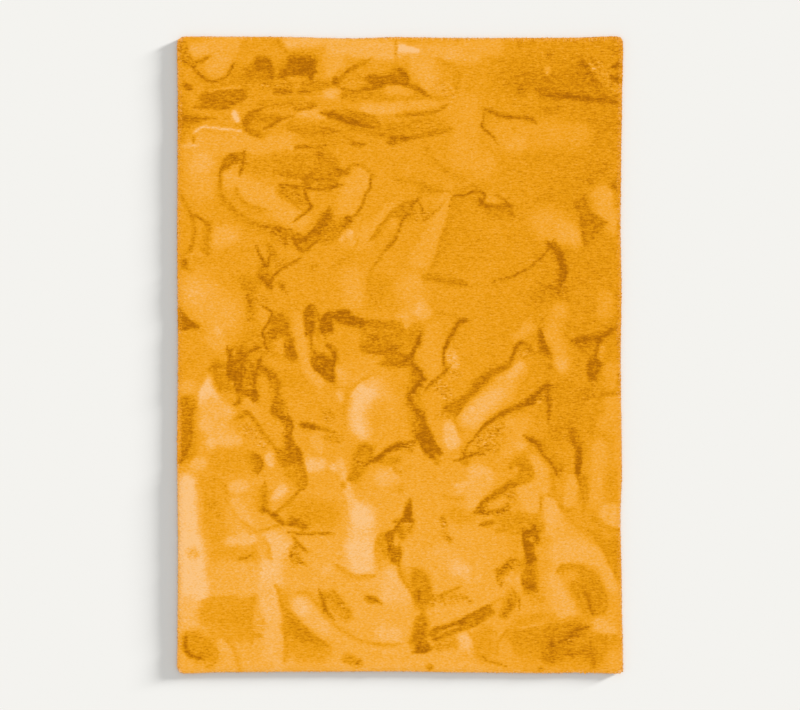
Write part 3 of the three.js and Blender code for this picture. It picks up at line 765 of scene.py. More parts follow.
# %% The lower part, middle
SWEEPS["lower part, middle"] = as_sweeps([
    # x0, y0, x1, y1, bow, r0, r1, tone, fade, rough
    (-60, -190, -40, -260, 0, 48, 48, 0.15, 24, 0),
    (-225, -185, -222, -190, 0, 22, 22, -0.12, 12, 0.7),
    (-225, -262, -190, -262, 0, 14, 14, -0.15, 9, 0.7),
    (-118, -312, -140, -375, 0, 32, 24, -0.3, 14, 0),
    (-115, -292, -98, -295, 0, 12, 13, -0.42, 8, 0.1),
    (-134, -320, -128, -336, 0, 8, 8, -0.42, 5, 0.9),
    (-150, -385, -138, -370, 0, 12, 13, -0.45, 8, 0.1),
    (-50, -335, -10, -328, 0, 14, 14, -0.25, 12, 0.1),
    (-82, -334, -58, -318, 0, 8, 8, -0.58, 6, 0.4),
    (-56, -318, -40, -300, 0, 9, 8, -0.58, 6, 0.2),
    (-35, -298, -18, -292, 0, 8, 12, -0.66, 6, 0.3),
    (-14, -290, 0, -283, 0, 12, 12, -0.72, 6, 0.4),
    (18, -285, 42, -276, 0, 14, 10, -0.5, 6, 0.9),
    (25, -300, 35, -298, 0, 8, 8, -0.3, 5, 0.8),
    (55, -185, 55, -245, 0, 28, 24, -0.33, 14, 0.3),
    (55, -180, 66, -210, 0, 12, 13, -0.5, 8, 0.4),
    (72, -235, 80, -255, 0, 14, 20, -0.7, 7, 0.4),
    (82, -255, 94, -295, 0, 21, 22, -0.85, 6, 0.2),
    (94, -296, 98, -314, 0, 20, 9, -0.85, 5, 0.2),
    (112, -300, 124, -306, 0, 13, 10, -0.5, 7, 0.5),
    (112, -325, 116, -336, 0, 12, 9, -0.33, 8, 0.2),
    (125, -190, 145, -190, 0, 12, 12, -0.1, 6, 0.95),
    (154, -225, 162, -270, 0, 20, 26, 0.72, 8, 0),
    (188, -327, 212, -320, 0, 6, 5, -0.62, 4, 0.4),
    (200, -305, 205, -335, 0, 12, 12, -0.3, 10, 0.3),
    (178, -411, 200, -403, 0, 9, 8, 0.75, 5, 0),
    (-55, -386, -25, -378, 0, 28, 26, 0.55, 10, 0),
    (-15, -355, -3, -368, 0, 8, 8, -0.2, 5, 0.8),
    (0, -422, 2, -424, 0, 8, 8, -0.25, 7, 0.2),
    (-207, -350, -205, -352, 0, 14, 14, 0.72, 7, 0),
    (-188, -330, -165, -420, 0, 10, 12, 0.62, 8, 0),
    (-165, -420, -140, -480, 0, 12, 20, 0.7, 9, 0),
    (-115, -500, -125, -600, 0, 38, 46, 0.75, 14, 0),
    (-125, -500, -118, -515, 0, 30, 28, 1.0, 12, 0),
    (200, -425, 262, -388, 0, 22, 34, 0.55, 12, 0),
    (-178, -405, -176, -412, 0, 8, 8, -0.3, 6, 0.4),
    (2, -542, 6, -572, 0, 13, 12, -0.45, 9, 0.1),
    (26, -478, 22, -502, 0, 9, 13, -0.88, 6, 0.1),
    (24, -508, 8, -519, 0, 11, 6, -0.8, 5, 0.1),
    (34, -535, 26, -550, 0, 12, 12, -0.3, 9, 0.6),
    (-45, -575, -45, -600, 0, 20, 22, -0.3, 10, 0.5),
    (-14, -550, -24, -560, 0, 7, 8, -0.55, 5, 0.2),
    (-28, -565, -32, -590, 0, 11, 12, -0.58, 6, 0.5),
    (-62, -582, -61, -582, 0, 4, 4, -0.5, 3, 0.3),
    (95, -490, 95, -590, 0, 30, 30, 0.22, 14, 0),
    (134, -512, 142, -535, 0, 9, 9, -0.25, 6, 0.95),
    (138, -560, 155, -578, 0, 11, 9, -0.3, 7, 0.8),
    (170, -500, 210, -520, 0, 24, 24, -0.06, 14, 0.1),
    (225, -430, 228, -465, 0, 26, 22, 0.45, 10, 0),
    (215, -560, 220, -600, 0, 34, 34, 0.3, 14, 0),
])
CREASES["lower part, middle"] = as_creases([
    # tone, width, points
    (-0.35, 6, (166, -206), (178, -224), (188, -240)),
    (0.35, 5, (-100, -437), (-20, -437)),
])
EDGES["lower part, middle"] = as_edges([
    # tone, left, right, points
    (-0.8, 8, 18, (74, -180), (82, -220), (98, -252), (113, -280), (138, -312)),
    (-0.85, 26, 4, (48, -235), (60, -275), (78, -303), (108, -326)),
    (-0.95, 9, 16, (22, -274), (-15, -288), (-45, -305), (-70, -325), (-118, -350)),
    (-0.5, 20, 6, (-128, -310), (-115, -288), (-95, -286), (-80, -305)),
    (-0.6, 22, 6, (-170, -392), (-148, -388), (-132, -365)),
    (-0.95, 4, 26, (30, -448), (36, -480), (33, -526)),
    (-0.85, 3, 18, (52, -521), (12, -521), (-22, -524)),
    (-0.9, 14, 9, (2, -524), (-24, -550), (-40, -575), (-34, -622)),
    (-0.9, 5, 5, (168, -332), (195, -325), (230, -312)),
    (-0.8, 9, 8, (275, -208), (235, -255), (210, -285), (194, -335)),
    (-0.2, 12, 12, (130, -440), (170, -452), (210, -445)),
])

# %% The lower part, right
SWEEPS["lower part, right"] = as_sweeps([
    # x0, y0, x1, y1, bow, r0, r1, tone, fade, rough
    (692, -160, 692, -480, 0, 24, 24, 0.2, 20, 0),
    (255, -275, 300, -235, 0, 24, 24, -0.12, 8, 1),
    (255, -290, 300, -290, 0, 16, 16, -0.12, 8, 1),
    (222, -312, 250, -310, 0, 9, 8, -0.5, 5, 0.9),
    (350, -215, 345, -235, 0, 18, 16, 0.28, 8, 0),
    (385, -215, 345, -300, 0, 22, 24, 0.25, 10, 0),
    (445, -285, 500, -350, 0, 20, 18, -0.25, 16, 0.1),
    (422, -330, 440, -400, 8, 18, 30, 0.34, 10, 0),
    (412, -262, 434, -280, 0, 9, 9, -0.6, 6, 0.3),
    (498, -352, 504, -366, 0, 10, 8, -0.42, 7, 0.5),
    (375, -283, 385, -285, 0, 14, 13, 0.42, 7, 0),
    (375, -350, 392, -380, 0, 30, 26, -0.28, 14, 0),
    (372, -344, 398, -346, 0, 11, 13, -0.5, 10, 0),
    (362, -356, 364, -358, 0, 8, 8, 0.32, 5, 0.5),
    (395, -388, 345, -408, 0, 12, 13, -0.33, 10, 0.1),
    (345, -408, 305, -434, 0, 13, 12, -0.42, 9, 0.2),
    (300, -440, 275, -455, 0, 10, 11, -0.48, 8, 0.2),
    (270, -460, 250, -485, 0, 11, 12, -0.5, 7, 0.8),
    (345, -440, 365, -445, 0, 16, 14, -0.2, 8, 1),
    (335, -475, 336, -475, 0, 12, 12, -0.3, 6, 0.9),
    (255, -493, 330, -490, 0, 10, 9, -0.4, 6, 0.95),
    (262, -530, 290, -528, 0, 10, 9, -0.38, 8, 0.5),
    (245, -375, 260, -385, 0, 34, 30, 0.55, 10, 0),
    (250, -420, 248, -432, 0, 26, 22, 0.4, 9, 0),
    (400, -430, 420, -470, 0, 34, 32, 0.4, 7, 0),
    (440, -425, 450, -440, 0, 26, 24, 0.35, 7, 0),
    (476, -462, 482, -540, 0, 22, 30, 0.52, 10, 0),
    (510, -560, 590, -625, 0, 36, 34, 0.38, 16, 0),
    (365, -520, 430, -540, 0, 26, 22, -0.26, 14, 0.1),
    (424, -540, 428, -550, 0, 8, 10, -0.6, 5, 0.7),
    (402, -562, 412, -560, 0, 11, 10, -0.74, 5, 0.2),
    (397, -572, 394, -598, 0, 8, 7, -0.68, 5, 0.1),
    (425, -572, 428, -585, 0, 11, 10, -0.6, 6, 0.6),
    (536, -232, 544, -262, 0, 14, 14, -0.55, 9, 0.4),
    (548, -272, 558, -296, 0, 10, 9, -0.7, 6, 0.4),
    (559, -300, 556, -372, 0, 9, 9, -0.78, 5, 0.3),
    (578, -390, 576, -455, 0, 14, 14, -0.28, 8, 0.1),
    (540, -400, 530, -465, 0, 22, 18, 0.35, 8, 0),
    (625, -290, 618, -450, 0, 26, 22, 0.3, 14, 0),
    (655, -370, 662, -450, 0, 16, 18, -0.05, 12, 0.2),
    (655, -495, 668, -520, 0, 30, 24, 0.45, 12, 0),
    (560, -515, 620, -560, 0, 26, 30, 0.06, 14, 0),
    (640, -215, 645, -215, 0, 26, 26, 0.15, 14, 0),
    (490, -245, 530, -205, 0, 30, 30, -0.25, 12, 0.2),
    (330, -525, 420, -525, 0, 22, 20, -0.2, 10, 0.1),
])
CREASES["lower part, right"] = as_creases([
    # tone, width, points
    (-0.4, 3, (315, -210), (330, -225), (346, -240)),
])
EDGES["lower part, right"] = as_edges([
    # tone, left, right, points
    (-0.85, 4, 6, (215, -314), (240, -308), (268, -308)),
    (-0.95, 16, 6, (384, -253), (410, -268), (432, -290), (454, -319), (480, -352), (500, -390)),
    (-0.3, 5, 34, (340, -362), (362, -333), (395, -334), (414, -352), (414, -390), (375, -412)),
    (-0.75, 8, 15, (390, -398), (330, -415), (295, -438), (265, -457), (230, -508)),
    (-0.8, 6, 5, (220, -492), (270, -490), (345, -486)),
    (-0.8, 6, 5, (245, -537), (270, -528), (308, -520)),
    (-0.2, 3, 40, (285, -500), (350, -497), (445, -499)),
    (-0.35, 8, 14, (290, -545), (345, -552), (400, -560)),
    (-0.45, 6, 6, (444, -430), (441, -470), (434, -505)),
    (-0.25, 4, 26, (478, -360), (484, -400), (482, -440)),
    (-0.3, 16, 4, (450, -440), (485, -446), (512, -486), (552, -480)),
    (-0.08, 36, 4, (505, -485), (545, -528), (600, -572), (652, -640)),
    (-0.12, 3, 22, (684, -350), (680, -400), (682, -470)),
    (-0.2, 4, 36, (600, -485), (625, -520), (660, -540), (705, -550)),
    (-0.95, 11, 6, (425, -542), (392, -556), (387, -585), (400, -618), (432, -645)),
    (-0.85, 4, 15, (412, -525), (432, -552), (429, -600)),
    (-0.6, 8, 20, (532, -205), (544, -240), (556, -268), (567, -300)),
    (-0.95, 6, 13, (566, -272), (566, -330), (561, -370), (563, -412)),
    (-0.3, 14, 14, (572, -385), (578, -440), (572, -520)),
])

# %% The bottom edge, left
SWEEPS["bottom edge, left"] = as_sweeps([
    # x0, y0, x1, y1, bow, r0, r1, tone, fade, rough
    (-655, -600, -645, -770, 0, 38, 46, 1.0, 9, 0),
    (-662, -790, -658, -850, 0, 34, 28, 0.62, 22, 0),
    (-650, -620, -646, -624, 0, 18, 16, 0.5, 8, 0.4),
    (-570, -625, -430, -625, 0, 26, 26, 0.03, 12, 0),
    (-540, -695, -480, -700, 0, 48, 48, 0.42, 26, 0),
    (-402, -600, -405, -740, 0, 32, 38, 0.75, 9, 0),
    (-415, -740, -400, -860, 0, 32, 26, 0.65, 9, 0),
    (-398, -860, -400, -985, 0, 30, 30, 0.55, 10, 0),
    (-330, -610, -325, -640, 0, 18, 18, -0.15, 8, 0.9),
    (-341, -618, -342, -630, 0, 6, 5, -0.6, 4, 0.9),
    (-265, -652, -261, -662, 0, 8, 7, 0.5, 5, 0),
    (-595, -810, -495, -810, 0, 38, 38, -0.05, 8, 0),
    (-540, -830, -490, -830, 0, 26, 26, -0.12, 12, 0),
    (-570, -870, -480, -870, 0, 30, 30, 0, 12, 0),
    (-440, -830, -432, -850, 0, 16, 14, 0.3, 8, 0.5),
    (-446, -876, -438, -880, 0, 8, 7, -0.1, 5, 1),
    (-312, -788, -236, -858, 0, 30, 22, 0.55, 9, 0),
    (-320, -783, -302, -795, 0, 22, 22, 0.8, 10, 0),
    (-300, -920, -250, -930, 0, 40, 34, -0.05, 20, 0),
    (-345, -855, -290, -885, 0, 26, 22, -0.38, 12, 0),
    (-245, -760, -240, -800, 0, 14, 14, -0.15, 9, 0.3),
    (-648, -902, -618, -928, 0, 40, 38, -0.25, 14, 0),
    (-558, -900, -532, -950, 6, 13, 16, 0.5, 6, 0),
    (-532, -950, -548, -985, 0, 18, 20, 0.4, 8, 0),
    (-545, -975, -420, -975, 0, 22, 22, 0.42, 12, 0),
    (-680, -985, -600, -990, 0, 10, 10, 0.35, 8, 0),
])
EDGES["bottom edge, left"] = as_edges([
    # tone, left, right, points
    (0.05, 4, 45, (-428, -565), (-410, -598), (-400, -645)),
    (-0.7, 11, 7, (-508, -641), (-482, -636), (-455, -620)),
    (-0.75, 4, 5, (-345, -632), (-325, -643), (-305, -652), (-285, -660)),
    (-0.05, 5, 50, (-630, -775), (-596, -764), (-540, -758), (-480, -762), (-440, -750)),
    (-0.15, 4, 30, (-455, -745), (-462, -800), (-466, -850), (-462, -905)),
    (-0.25, 55, 4, (-392, -715), (-378, -765), (-367, -820), (-362, -880), (-363, -965)),
    (-0.4, 4, 50, (-358, -800), (-328, -820), (-298, -852), (-262, -885), (-215, -915)),
    (-0.15, 26, 5, (-330, -745), (-290, -752), (-260, -786), (-232, -825), (-190, -862)),
    (-0.9, 14, 9, (-258, -735), (-243, -765), (-236, -790), (-226, -810), (-205, -830)),
    (-0.95, 13, 14, (-672, -872), (-674, -912), (-664, -938), (-645, -945), (-612, -958)),
    (-0.2, 4, 40, (-610, -885), (-582, -910), (-570, -940), (-582, -970), (-615, -988)),
    (-0.1, 20, 3, (-560, -880), (-532, -912), (-513, -950), (-505, -1000)),
])

# %% The bottom edge, middle
SWEEPS["bottom edge, middle"] = as_sweeps([
    # x0, y0, x1, y1, bow, r0, r1, tone, fade, rough
    (-200, -985, 240, -985, 0, 26, 26, 0.42, 18, 0),
    (-125, -610, -120, -660, 0, 44, 38, 0.9, 8, 0),
    (-230, -672, -175, -668, 8, 18, 20, 0.52, 9, 0),
    (-48, -585, -40, -625, 0, 16, 16, -0.2, 10, 0.3),
    (-20, -612, -19, -644, 0, 11, 13, -0.6, 8, 0.1),
    (-75, -720, -70, -750, 0, 30, 30, 0.42, 18, 0),
    (-30, -700, -20, -742, 0, 34, 42, 0.65, 10, 0),
    (0, -745, 40, -775, 0, 28, 12, 0.6, 8, 0),
    (130, -625, 170, -655, 0, 32, 30, 0.42, 16, 0),
    (178, -666, 232, -692, 0, 24, 20, 0.7, 9, 0),
    (60, -700, 70, -765, 0, 30, 32, -0.3, 9, 0.1),
    (100, -784, 101, -784, 0, 6, 6, -0.42, 4, 0.7),
    (120, -765, 190, -760, 0, 14, 14, -0.05, 8, 0.7),
    (208, -762, 211, -762, 0, 6, 5, -0.55, 4, 0.8),
    (220, -774, 221, -774, 0, 8, 8, -0.25, 5, 0.8),
    (-102, -764, -80, -768, 0, 11, 12, -0.42, 7, 0.2),
    (-215, -760, -170, -815, 0, 28, 22, -0.1, 12, 0.3),
    (-190, -775, -178, -792, 0, 10, 10, -0.32, 6, 0.7),
    (-120, -815, -80, -820, 0, 20, 20, 0.38, 9, 0),
    (-140, -865, -70, -870, 0, 16, 18, 0.3, 9, 0),
    (-52, -872, -18, -874, 0, 24, 24, 0.62, 12, 0),
    (-85, -926, -15, -932, 0, 8, 8, 0.48, 6, 0),
    (-165, -950, -135, -965, 0, 16, 14, -0.2, 9, 0.4),
    (-130, -960, -125, -970, 0, 8, 8, -0.4, 5, 0.9),
    (68, -838, 58, -895, 0, 22, 28, -0.5, 14, 0.2),
    (64, -914, 80, -917, 0, 15, 16, -0.85, 10, 0.1),
    (112, -878, 280, -808, 0, 20, 18, -0.45, 7, 0.1),
    (205, -898, 234, -936, 0, 28, 12, 0.66, 8, 0),
    (120, -915, 170, -905, 0, 16, 16, -0.12, 9, 0.6),
    (90, -980, 95, -980, 0, 10, 8, -0.3, 6, 0.7),
])
CREASES["bottom edge, middle"] = as_creases([
    # tone, width, points
    (0.4, 5, (118, -880), (150, -862), (182, -851)),
])
EDGES["bottom edge, middle"] = as_edges([
    # tone, left, right, points
    (-0.1, 26, 5, (-68, -560), (-77, -612), (-64, -668)),
    (-0.85, 4, 30, (-2, -590), (2, -630), (-6, -668)),
    (-0.9, 8, 8, (-38, -545), (-37, -575), (-32, -600), (-24, -630)),
    (-0.2, 4, 26, (-215, -648), (-170, -676), (-135, -690), (-70, -688)),
    (-0.35, 34, 4, (-12, -650), (2, -695), (24, -732), (58, -778)),
    (-0.4, 4, 34, (32, -664), (66, -682), (88, -710), (104, -752)),
    (-0.95, 10, 11, (61, -736), (60, -758), (63, -782)),
    (-0.55, 8, 10, (62, -775), (90, -765), (115, -748)),
    (-0.45, 14, 10, (115, -755), (150, -745), (198, -724)),
    (-0.85, 8, 8, (-98, -758), (-78, -766), (-54, -784)),
    (-0.3, 6, 24, (-212, -735), (-190, -768), (-168, -792), (-155, -822)),
    (-0.2, 5, 14, (-205, -845), (-160, -875), (-110, -898), (-50, -907), (10, -905)),
    (-0.4, 18, 16, (66, -785), (72, -830), (75, -880), (72, -930)),
    (-0.75, 9, 10, (80, -835), (74, -865), (72, -895)),
    (-0.9, 14, 7, (35, -930), (72, -932), (108, -918)),
    (-0.95, 4, 16, (92, -872), (112, -856), (150, -850), (178, -843), (205, -822), (240, -803), (288, -780)),
    (-0.55, 3, 30, (95, -895), (125, -878), (155, -866), (192, -848)),
    (-0.6, 24, 4, (185, -866), (225, -854), (250, -842), (266, -818), (290, -782)),
    (-0.08, 36, 4, (214, -865), (231, -905), (252, -962)),
])

# %% The bottom edge, right
SWEEPS["bottom edge, right"] = as_sweeps([
    # x0, y0, x1, y1, bow, r0, r1, tone, fade, rough
    (366, -580, 366, -680, 0, 24, 26, 0.06, 20, 0),
    (390, -890, 600, -915, 0, 60, 66, -0.2, 24, 0),
    (270, -880, 260, -930, 0, 34, 34, -0.05, 10, 0.1),
    (500, -620, 600, -630, 0, 38, 36, 0.5, 16, 0),
    (500, -700, 515, -800, 0, 40, 38, 0.5, 12, 0),
    (610, -635, 665, -730, 8, 18, 18, 0.42, 8, 0),
    (625, -845, 655, -860, 0, 22, 22, 0.48, 9, 0),
    (408, -645, 410, -730, 0, 22, 24, -0.45, 12, 0.1),
    (406, -600, 408, -635, 0, 14, 14, -0.85, 8, 0.1),
    (400, -712, 412, -730, 0, 13, 13, -0.8, 9, 0.2),
    (410, -760, 440, -765, 0, 14, 14, 0, 9, 0.3),
    (345, -657, 317, -680, 0, 18, 16, -0.42, 10, 0.7),
    (368, -650, 382, -655, 0, 6, 5, -0.4, 4, 0.7),
    (310, -705, 318, -720, 0, 9, 8, -0.33, 6, 0.9),
    (352, -702, 372, -706, 0, 17, 17, 0.4, 7, 0),
    (262, -640, 230, -690, 0, 16, 16, 0.35, 8, 0),
    (352, -765, 330, -808, 0, 22, 20, -0.25, 12, 0.3),
    (346, -786, 332, -810, 0, 10, 9, -0.5, 9, 0.5),
    (565, -705, 602, -774, 0, 50, 43, -0.24, 8, 0),
    (520, -684, 530, -688, 0, 24, 24, 0.15, 12, 0),
    (672, -590, 685, -670, 0, 22, 10, -0.25, 7, 0),
    (480, -872, 555, -856, 0, 26, 24, -0.42, 16, 0.1),
    (552, -884, 528, -896, 0, 11, 10, -0.5, 6, 0.9),
    (478, -905, 472, -945, 0, 16, 26, -0.5, 16, 0.2),
    (505, -930, 598, -930, 0, 15, 13, -0.42, 14, 0.1),
    (675, -950, 675, -985, 0, 26, 22, 0.25, 14, 0),
    (335, -920, 340, -945, 0, 22, 22, 0.2, 9, 0),
    (360, -975, 440, -975, 0, 14, 14, 0.12, 10, 0),
    (440, -986, 441, -986, 0, 8, 8, -0.28, 5, 0.8),
])
CREASES["bottom edge, right"] = as_creases([
    # tone, width, points
    (0.45, 6, (370, -856), (410, -850), (450, -842)),
])
EDGES["bottom edge, right"] = as_edges([
    # tone, left, right, points
    (-0.95, 20, 5, (388, -545), (388, -590), (402, -625), (412, -655)),
    (-0.45, 34, 5, (395, -640), (388, -680), (384, -712), (400, -745)),
    (-0.9, 10, 5, (380, -690), (386, -722), (405, -730), (438, -744)),
    (-0.65, 14, 11, (372, -640), (345, -650), (322, -670), (306, -700)),
    (-0.6, 4, 4, (352, -728), (362, -752), (374, -772), (376, -800)),
    (-0.5, 10, 12, (352, -765), (345, -795), (318, -822)),
    (-0.35, 7, 8, (280, -788), (300, -772), (328, -762)),
    (-0.3, 50, 4, (585, -545), (628, -598), (652, -645), (690, -712)),
    (-0.3, 4, 42, (484, -684), (502, -664), (530, -656), (570, -661), (606, -685), (636, -725)),
    (-0.35, 4, 42, (612, -690), (636, -725), (650, -772), (640, -808), (590, -818)),
    (-0.85, 12, 10, (572, -735), (588, -758), (596, -785), (606, -818)),
    (-0.12, 5, 40, (370, -834), (430, -816), (482, -812), (505, -832), (545, -820), (610, -828)),
    (-0.9, 8, 14, (602, -850), (565, -860), (540, -875), (515, -895), (490, -908)),
    (-0.85, 12, 12, (478, -890), (476, -915), (481, -940), (466, -958)),
    (-0.45, 15, 13, (438, -948), (472, -944), (508, -940)),
    (-0.5, 20, 18, (492, -915), (530, -934), (565, -930), (598, -930)),
    (-0.55, 15, 22, (600, -896), (598, -930), (606, -955), (608, -985)),
    (-0.25, 4, 45, (600, -888), (640, -876), (675, -882), (715, -902)),
    (-0.35, 5, 5, (348, -855), (318, -885), (306, -912), (300, -952)),
    (-0.75, 5, 5, (258, -945), (280, -962), (305, -967), (342, -979)),
])
for kind, tables in (("sweeps", SWEEPS), ("edges", EDGES), ("creases", CREASES)):
    print(sum(map(len, tables.values())), kind)

# %% [markdown]
# ## Painting the sweeps
# Plush never parts along a clean line. Before the sweeps are painted, each point is nudged a few
# millimetres by a smooth, seeded noise, so every edge that is drawn as a circle or a straight line
# comes out ragged. The pile's tone and roughness are then two grids of numbers, and each sweep
# draws them towards its own values, fading out over its soft edge. A wide sweep is made with the
# whole flat hand, which presses less at its sides, so the wider a sweep, the softer its edge.

# %% Smooth noise on a lattice
NOISE_REACH = 1100  # the lattice covers the rug and a little more
SEEDS = {"nudge x": 11, "nudge y": 21, "lumps": 31, "rim": 51, "nap rows": 71, "nap lean": 72}


def lattice_noise(x, y, spacing, seed):
    """Smooth noise from -1 to 1, with swells about as wide as the spacing."""
    cells = math.ceil(2 * NOISE_REACH / spacing) + 2
    values = np.random.default_rng(seed).uniform(-1, 1, (cells, cells))
    u, v = (x + NOISE_REACH) / spacing, (y + NOISE_REACH) / spacing
    i, j = u.astype(int), v.astype(int)
    s, t = smooth_rise(0, 1, u - i), smooth_rise(0, 1, v - j)
    near = values[j, i] * (1 - s) + values[j, i + 1] * s
    far = values[j + 1, i] * (1 - s) + values[j + 1, i + 1] * s
    return near * (1 - t) + far * t


NUDGES = [(34, 1.5), (12, 1.6)]  # width of the waves, and how far they nudge
ragged_x, ragged_y = top_x.copy(), top_y.copy()
for number, (spacing, reach) in enumerate(NUDGES):
    ragged_x += reach * lattice_noise(top_x, top_y, spacing, SEEDS["nudge x"] + number)
    ragged_y += reach * lattice_noise(top_x, top_y, spacing, SEEDS["nudge y"] + number)

# %% Paint each sweep over the ones before it
MARGIN = 8  # the nudges move no point further than this


def grid_block(x_values, y_values, reach):
    """The block of the grid that lies within reach of all the given places."""
    i0, i1 = np.searchsorted(columns, (min(x_values) - reach, max(x_values) + reach))
    j0, j1 = np.searchsorted(rows, (min(y_values) - reach, max(y_values) + reach))
    return slice(j0, j1), slice(i0, i1)


def depth_in_sweep(sweep, x, y):
    """How far inside a sweep's outline points lie, negative outside it."""
    along_x, along_y = sweep.x1 - sweep.x0, sweep.y1 - sweep.y0
    length = math.hypot(along_x, along_y)
    ahead = ((x - sweep.x0) * along_x + (y - sweep.y0) * along_y) / length
    aside = ((y - sweep.y0) * along_x - (x - sweep.x0) * along_y) / length
    share = np.clip(ahead / length, 0, 1)
    aside = aside - 4 * sweep.bow * share * (1 - share)
    radius = sweep.r0 + (sweep.r1 - sweep.r0) * share
    return radius - np.hypot(ahead - share * length, aside)


def paint(grid, block, share, value):
    """Draws part of a grid towards a value."""
    grid[block] += share * (value - grid[block])


SOFTNESS = 0.5  # a wide sweep fades out over at least this share of its breadth
# Painted light and shade: the light falls off unevenly over so large a rug, so unswept pile is painted paler
# towards the foot and darker towards the right.
FOOT_PAINTED_LIGHT, FOOT_ZONE = 0.35, (100, -800)  # unswept pile gets paler towards the foot, between these y,
RIGHT_PAINTED_SHADE, RIGHT_ZONE = -0.2, (100, 600)  # and darker towards the right, between these x

tone = FOOT_PAINTED_LIGHT * smooth_rise(*FOOT_ZONE, top_y) + RIGHT_PAINTED_SHADE * smooth_rise(*RIGHT_ZONE, top_x)
rough = np.zeros_like(tone)
for table in SWEEPS.values():
    for sweep in table:
        reach = (1 + SOFTNESS) * max(sweep.r0, sweep.r1) + abs(sweep.bow) + sweep.fade + MARGIN
        block = grid_block((sweep.x0, sweep.x1), (sweep.y0, sweep.y1), reach)
        depth = depth_in_sweep(sweep, ragged_x[block], ragged_y[block])
        fade = max(sweep.fade, SOFTNESS * min(sweep.r0, sweep.r1))
        share = smooth_rise(-fade, fade, depth)
        # Painted light and shade: the tone is pale where lying pile shows its glossy sides, and dark where
        # the eye looks down into pile that stands or parts.
        paint(tone, block, share, sweep.tone)
        paint(rough, block, share, sweep.rough)
print(f"tones from {tone.min():.2f} to {tone.max():.2f}")

# %% Lines through a few points
SPAN_STEPS = 5


def smooth_line(points):
    """A smooth line through a few points, as a Catmull-Rom spline."""
    known = np.array([2 * np.array(points[0]) - points[1], *points, 2 * np.array(points[-1]) - points[-2]])
    t = np.arange(SPAN_STEPS)[:, None] / SPAN_STEPS
    spans = [
        b + t * (c - a) / 2 + t**2 * (2 * a - 5 * b + 4 * c - d) / 2 + t**3 * (3 * b - a - 3 * c + d) / 2
        for a, b, c, d in zip(known, known[1:], known[2:], known[3:])
    ]
    return np.concatenate([*spans, known[-2:-1]])


def beside_line(line, x, y):
    """Distance of places from a line, positive on its left, and how far along it they are, 0 to 1."""
    nearest = np.full_like(x, np.inf)
    aside = np.zeros_like(x)
    along = np.zeros_like(x)
    for number, ((x0, y0), (x1, y1)) in enumerate(zip(line, line[1:])):
        run_x, run_y = x1 - x0, y1 - y0
        share = np.clip(((x - x0) * run_x + (y - y0) * run_y) / (run_x**2 + run_y**2), 0, 1)
        away = np.hypot(x - x0 - share * run_x, y - y0 - share * run_y)
        side = np.where((y - y0) * run_x > (x - x0) * run_y, 1, -1)
        closer = away < nearest
        nearest = np.where(closer, away, nearest)
        aside = np.where(closer, side * away, aside)
        along = np.where(closer, (number + share) / (len(line) - 1), along)
    return aside, along


# %% Paint the edges that sweeps leave
CRISP = 3.5  # no crease, and no end of an edge, is sharper than this
EDGE_CRISP = 7  # an edge fades out over at least this much, or the points would miss it
EDGE_END = 0.18  # share of an edge's length over which its end dies away
EDGE_FALL = 1.5  # the higher it is, the quicker an edge fades right beside its line

for table in EDGES.values():
    for edge in table:
        line = smooth_line(edge.points)
        block = grid_block(*line.T, max(edge.left, edge.right) + MARGIN)
        aside, along = beside_line(line, ragged_x[block], ragged_y[block])
        strength = np.sqrt(smooth_rise(0, EDGE_END, np.minimum(along, 1 - along)))
        width = np.maximum(np.where(aside > 0, edge.left, edge.right), EDGE_CRISP)
        width = np.maximum(width * strength, CRISP)
        share = (1 - np.clip(abs(aside) / width, 0, 1)) ** EDGE_FALL
        # Painted light and shade along the edge, as for the sweeps: a dark edge is the shade in pile that
        # stands or parts, a pale one the sheen of pile that lies.
        paint(tone, block, share, edge.tone)

# %% Draw the creases where sweeps meet
GROOVE_DEPTH = 3.2

groove = np.zeros_like(tone)
for table in CREASES.values():
    for crease in table:
        line = smooth_line(crease.points)
        block = grid_block(*line.T, crease.width + MARGIN)
        aside, _ = beside_line(line, ragged_x[block], ragged_y[block])
        share = 1 - smooth_rise(crease.width / 2 - CRISP, crease.width / 2 + CRISP, abs(aside))
        # Painted shade and light: a dark crease is the shade down in the parted pile, over its real groove,
        # and a pale one is the sheen of a thin lip of pile.
        paint(tone, block, share, crease.tone)
        paint(groove, block, share, GROOVE_DEPTH * max(-crease.tone, 0))

# %% [markdown]
# ## The height of the pile
# Pile that lies flat in one direction slides up on its neighbours and stands a little proud, and
# pile that parts sinks in. So the height follows the tone, softened over a centimetre or so, with
# the creases as troughs in it and small lumps where the pile is roughed up. At the rim the pile
# rolls over in a quarter of an ellipse, down to the widest line of its bulge.

# %% Heights of the top
RISE, SINK = 2.2, 3.2  # the palest pile stands this much higher, the darkest this much lower
LUMP_HEIGHT, LUMP_SPACING = 1.1, 9  # of the lumps where the pile is roughed up
SOFTENING_PASSES = 5


def softened(grid):
    """A grid of numbers with each one mixed with its neighbours."""
    for _ in range(SOFTENING_PASSES):
        for axis in (0, 1):
            padded = np.pad(grid, [(1, 1) if axis == a else (0, 0) for a in (0, 1)], mode="edge")
            before, after = (np.take(padded, np.arange(grid.shape[axis]) + step, axis) for step in (0, 2))
            grid = grid / 2 + (before + after) / 4
    return grid


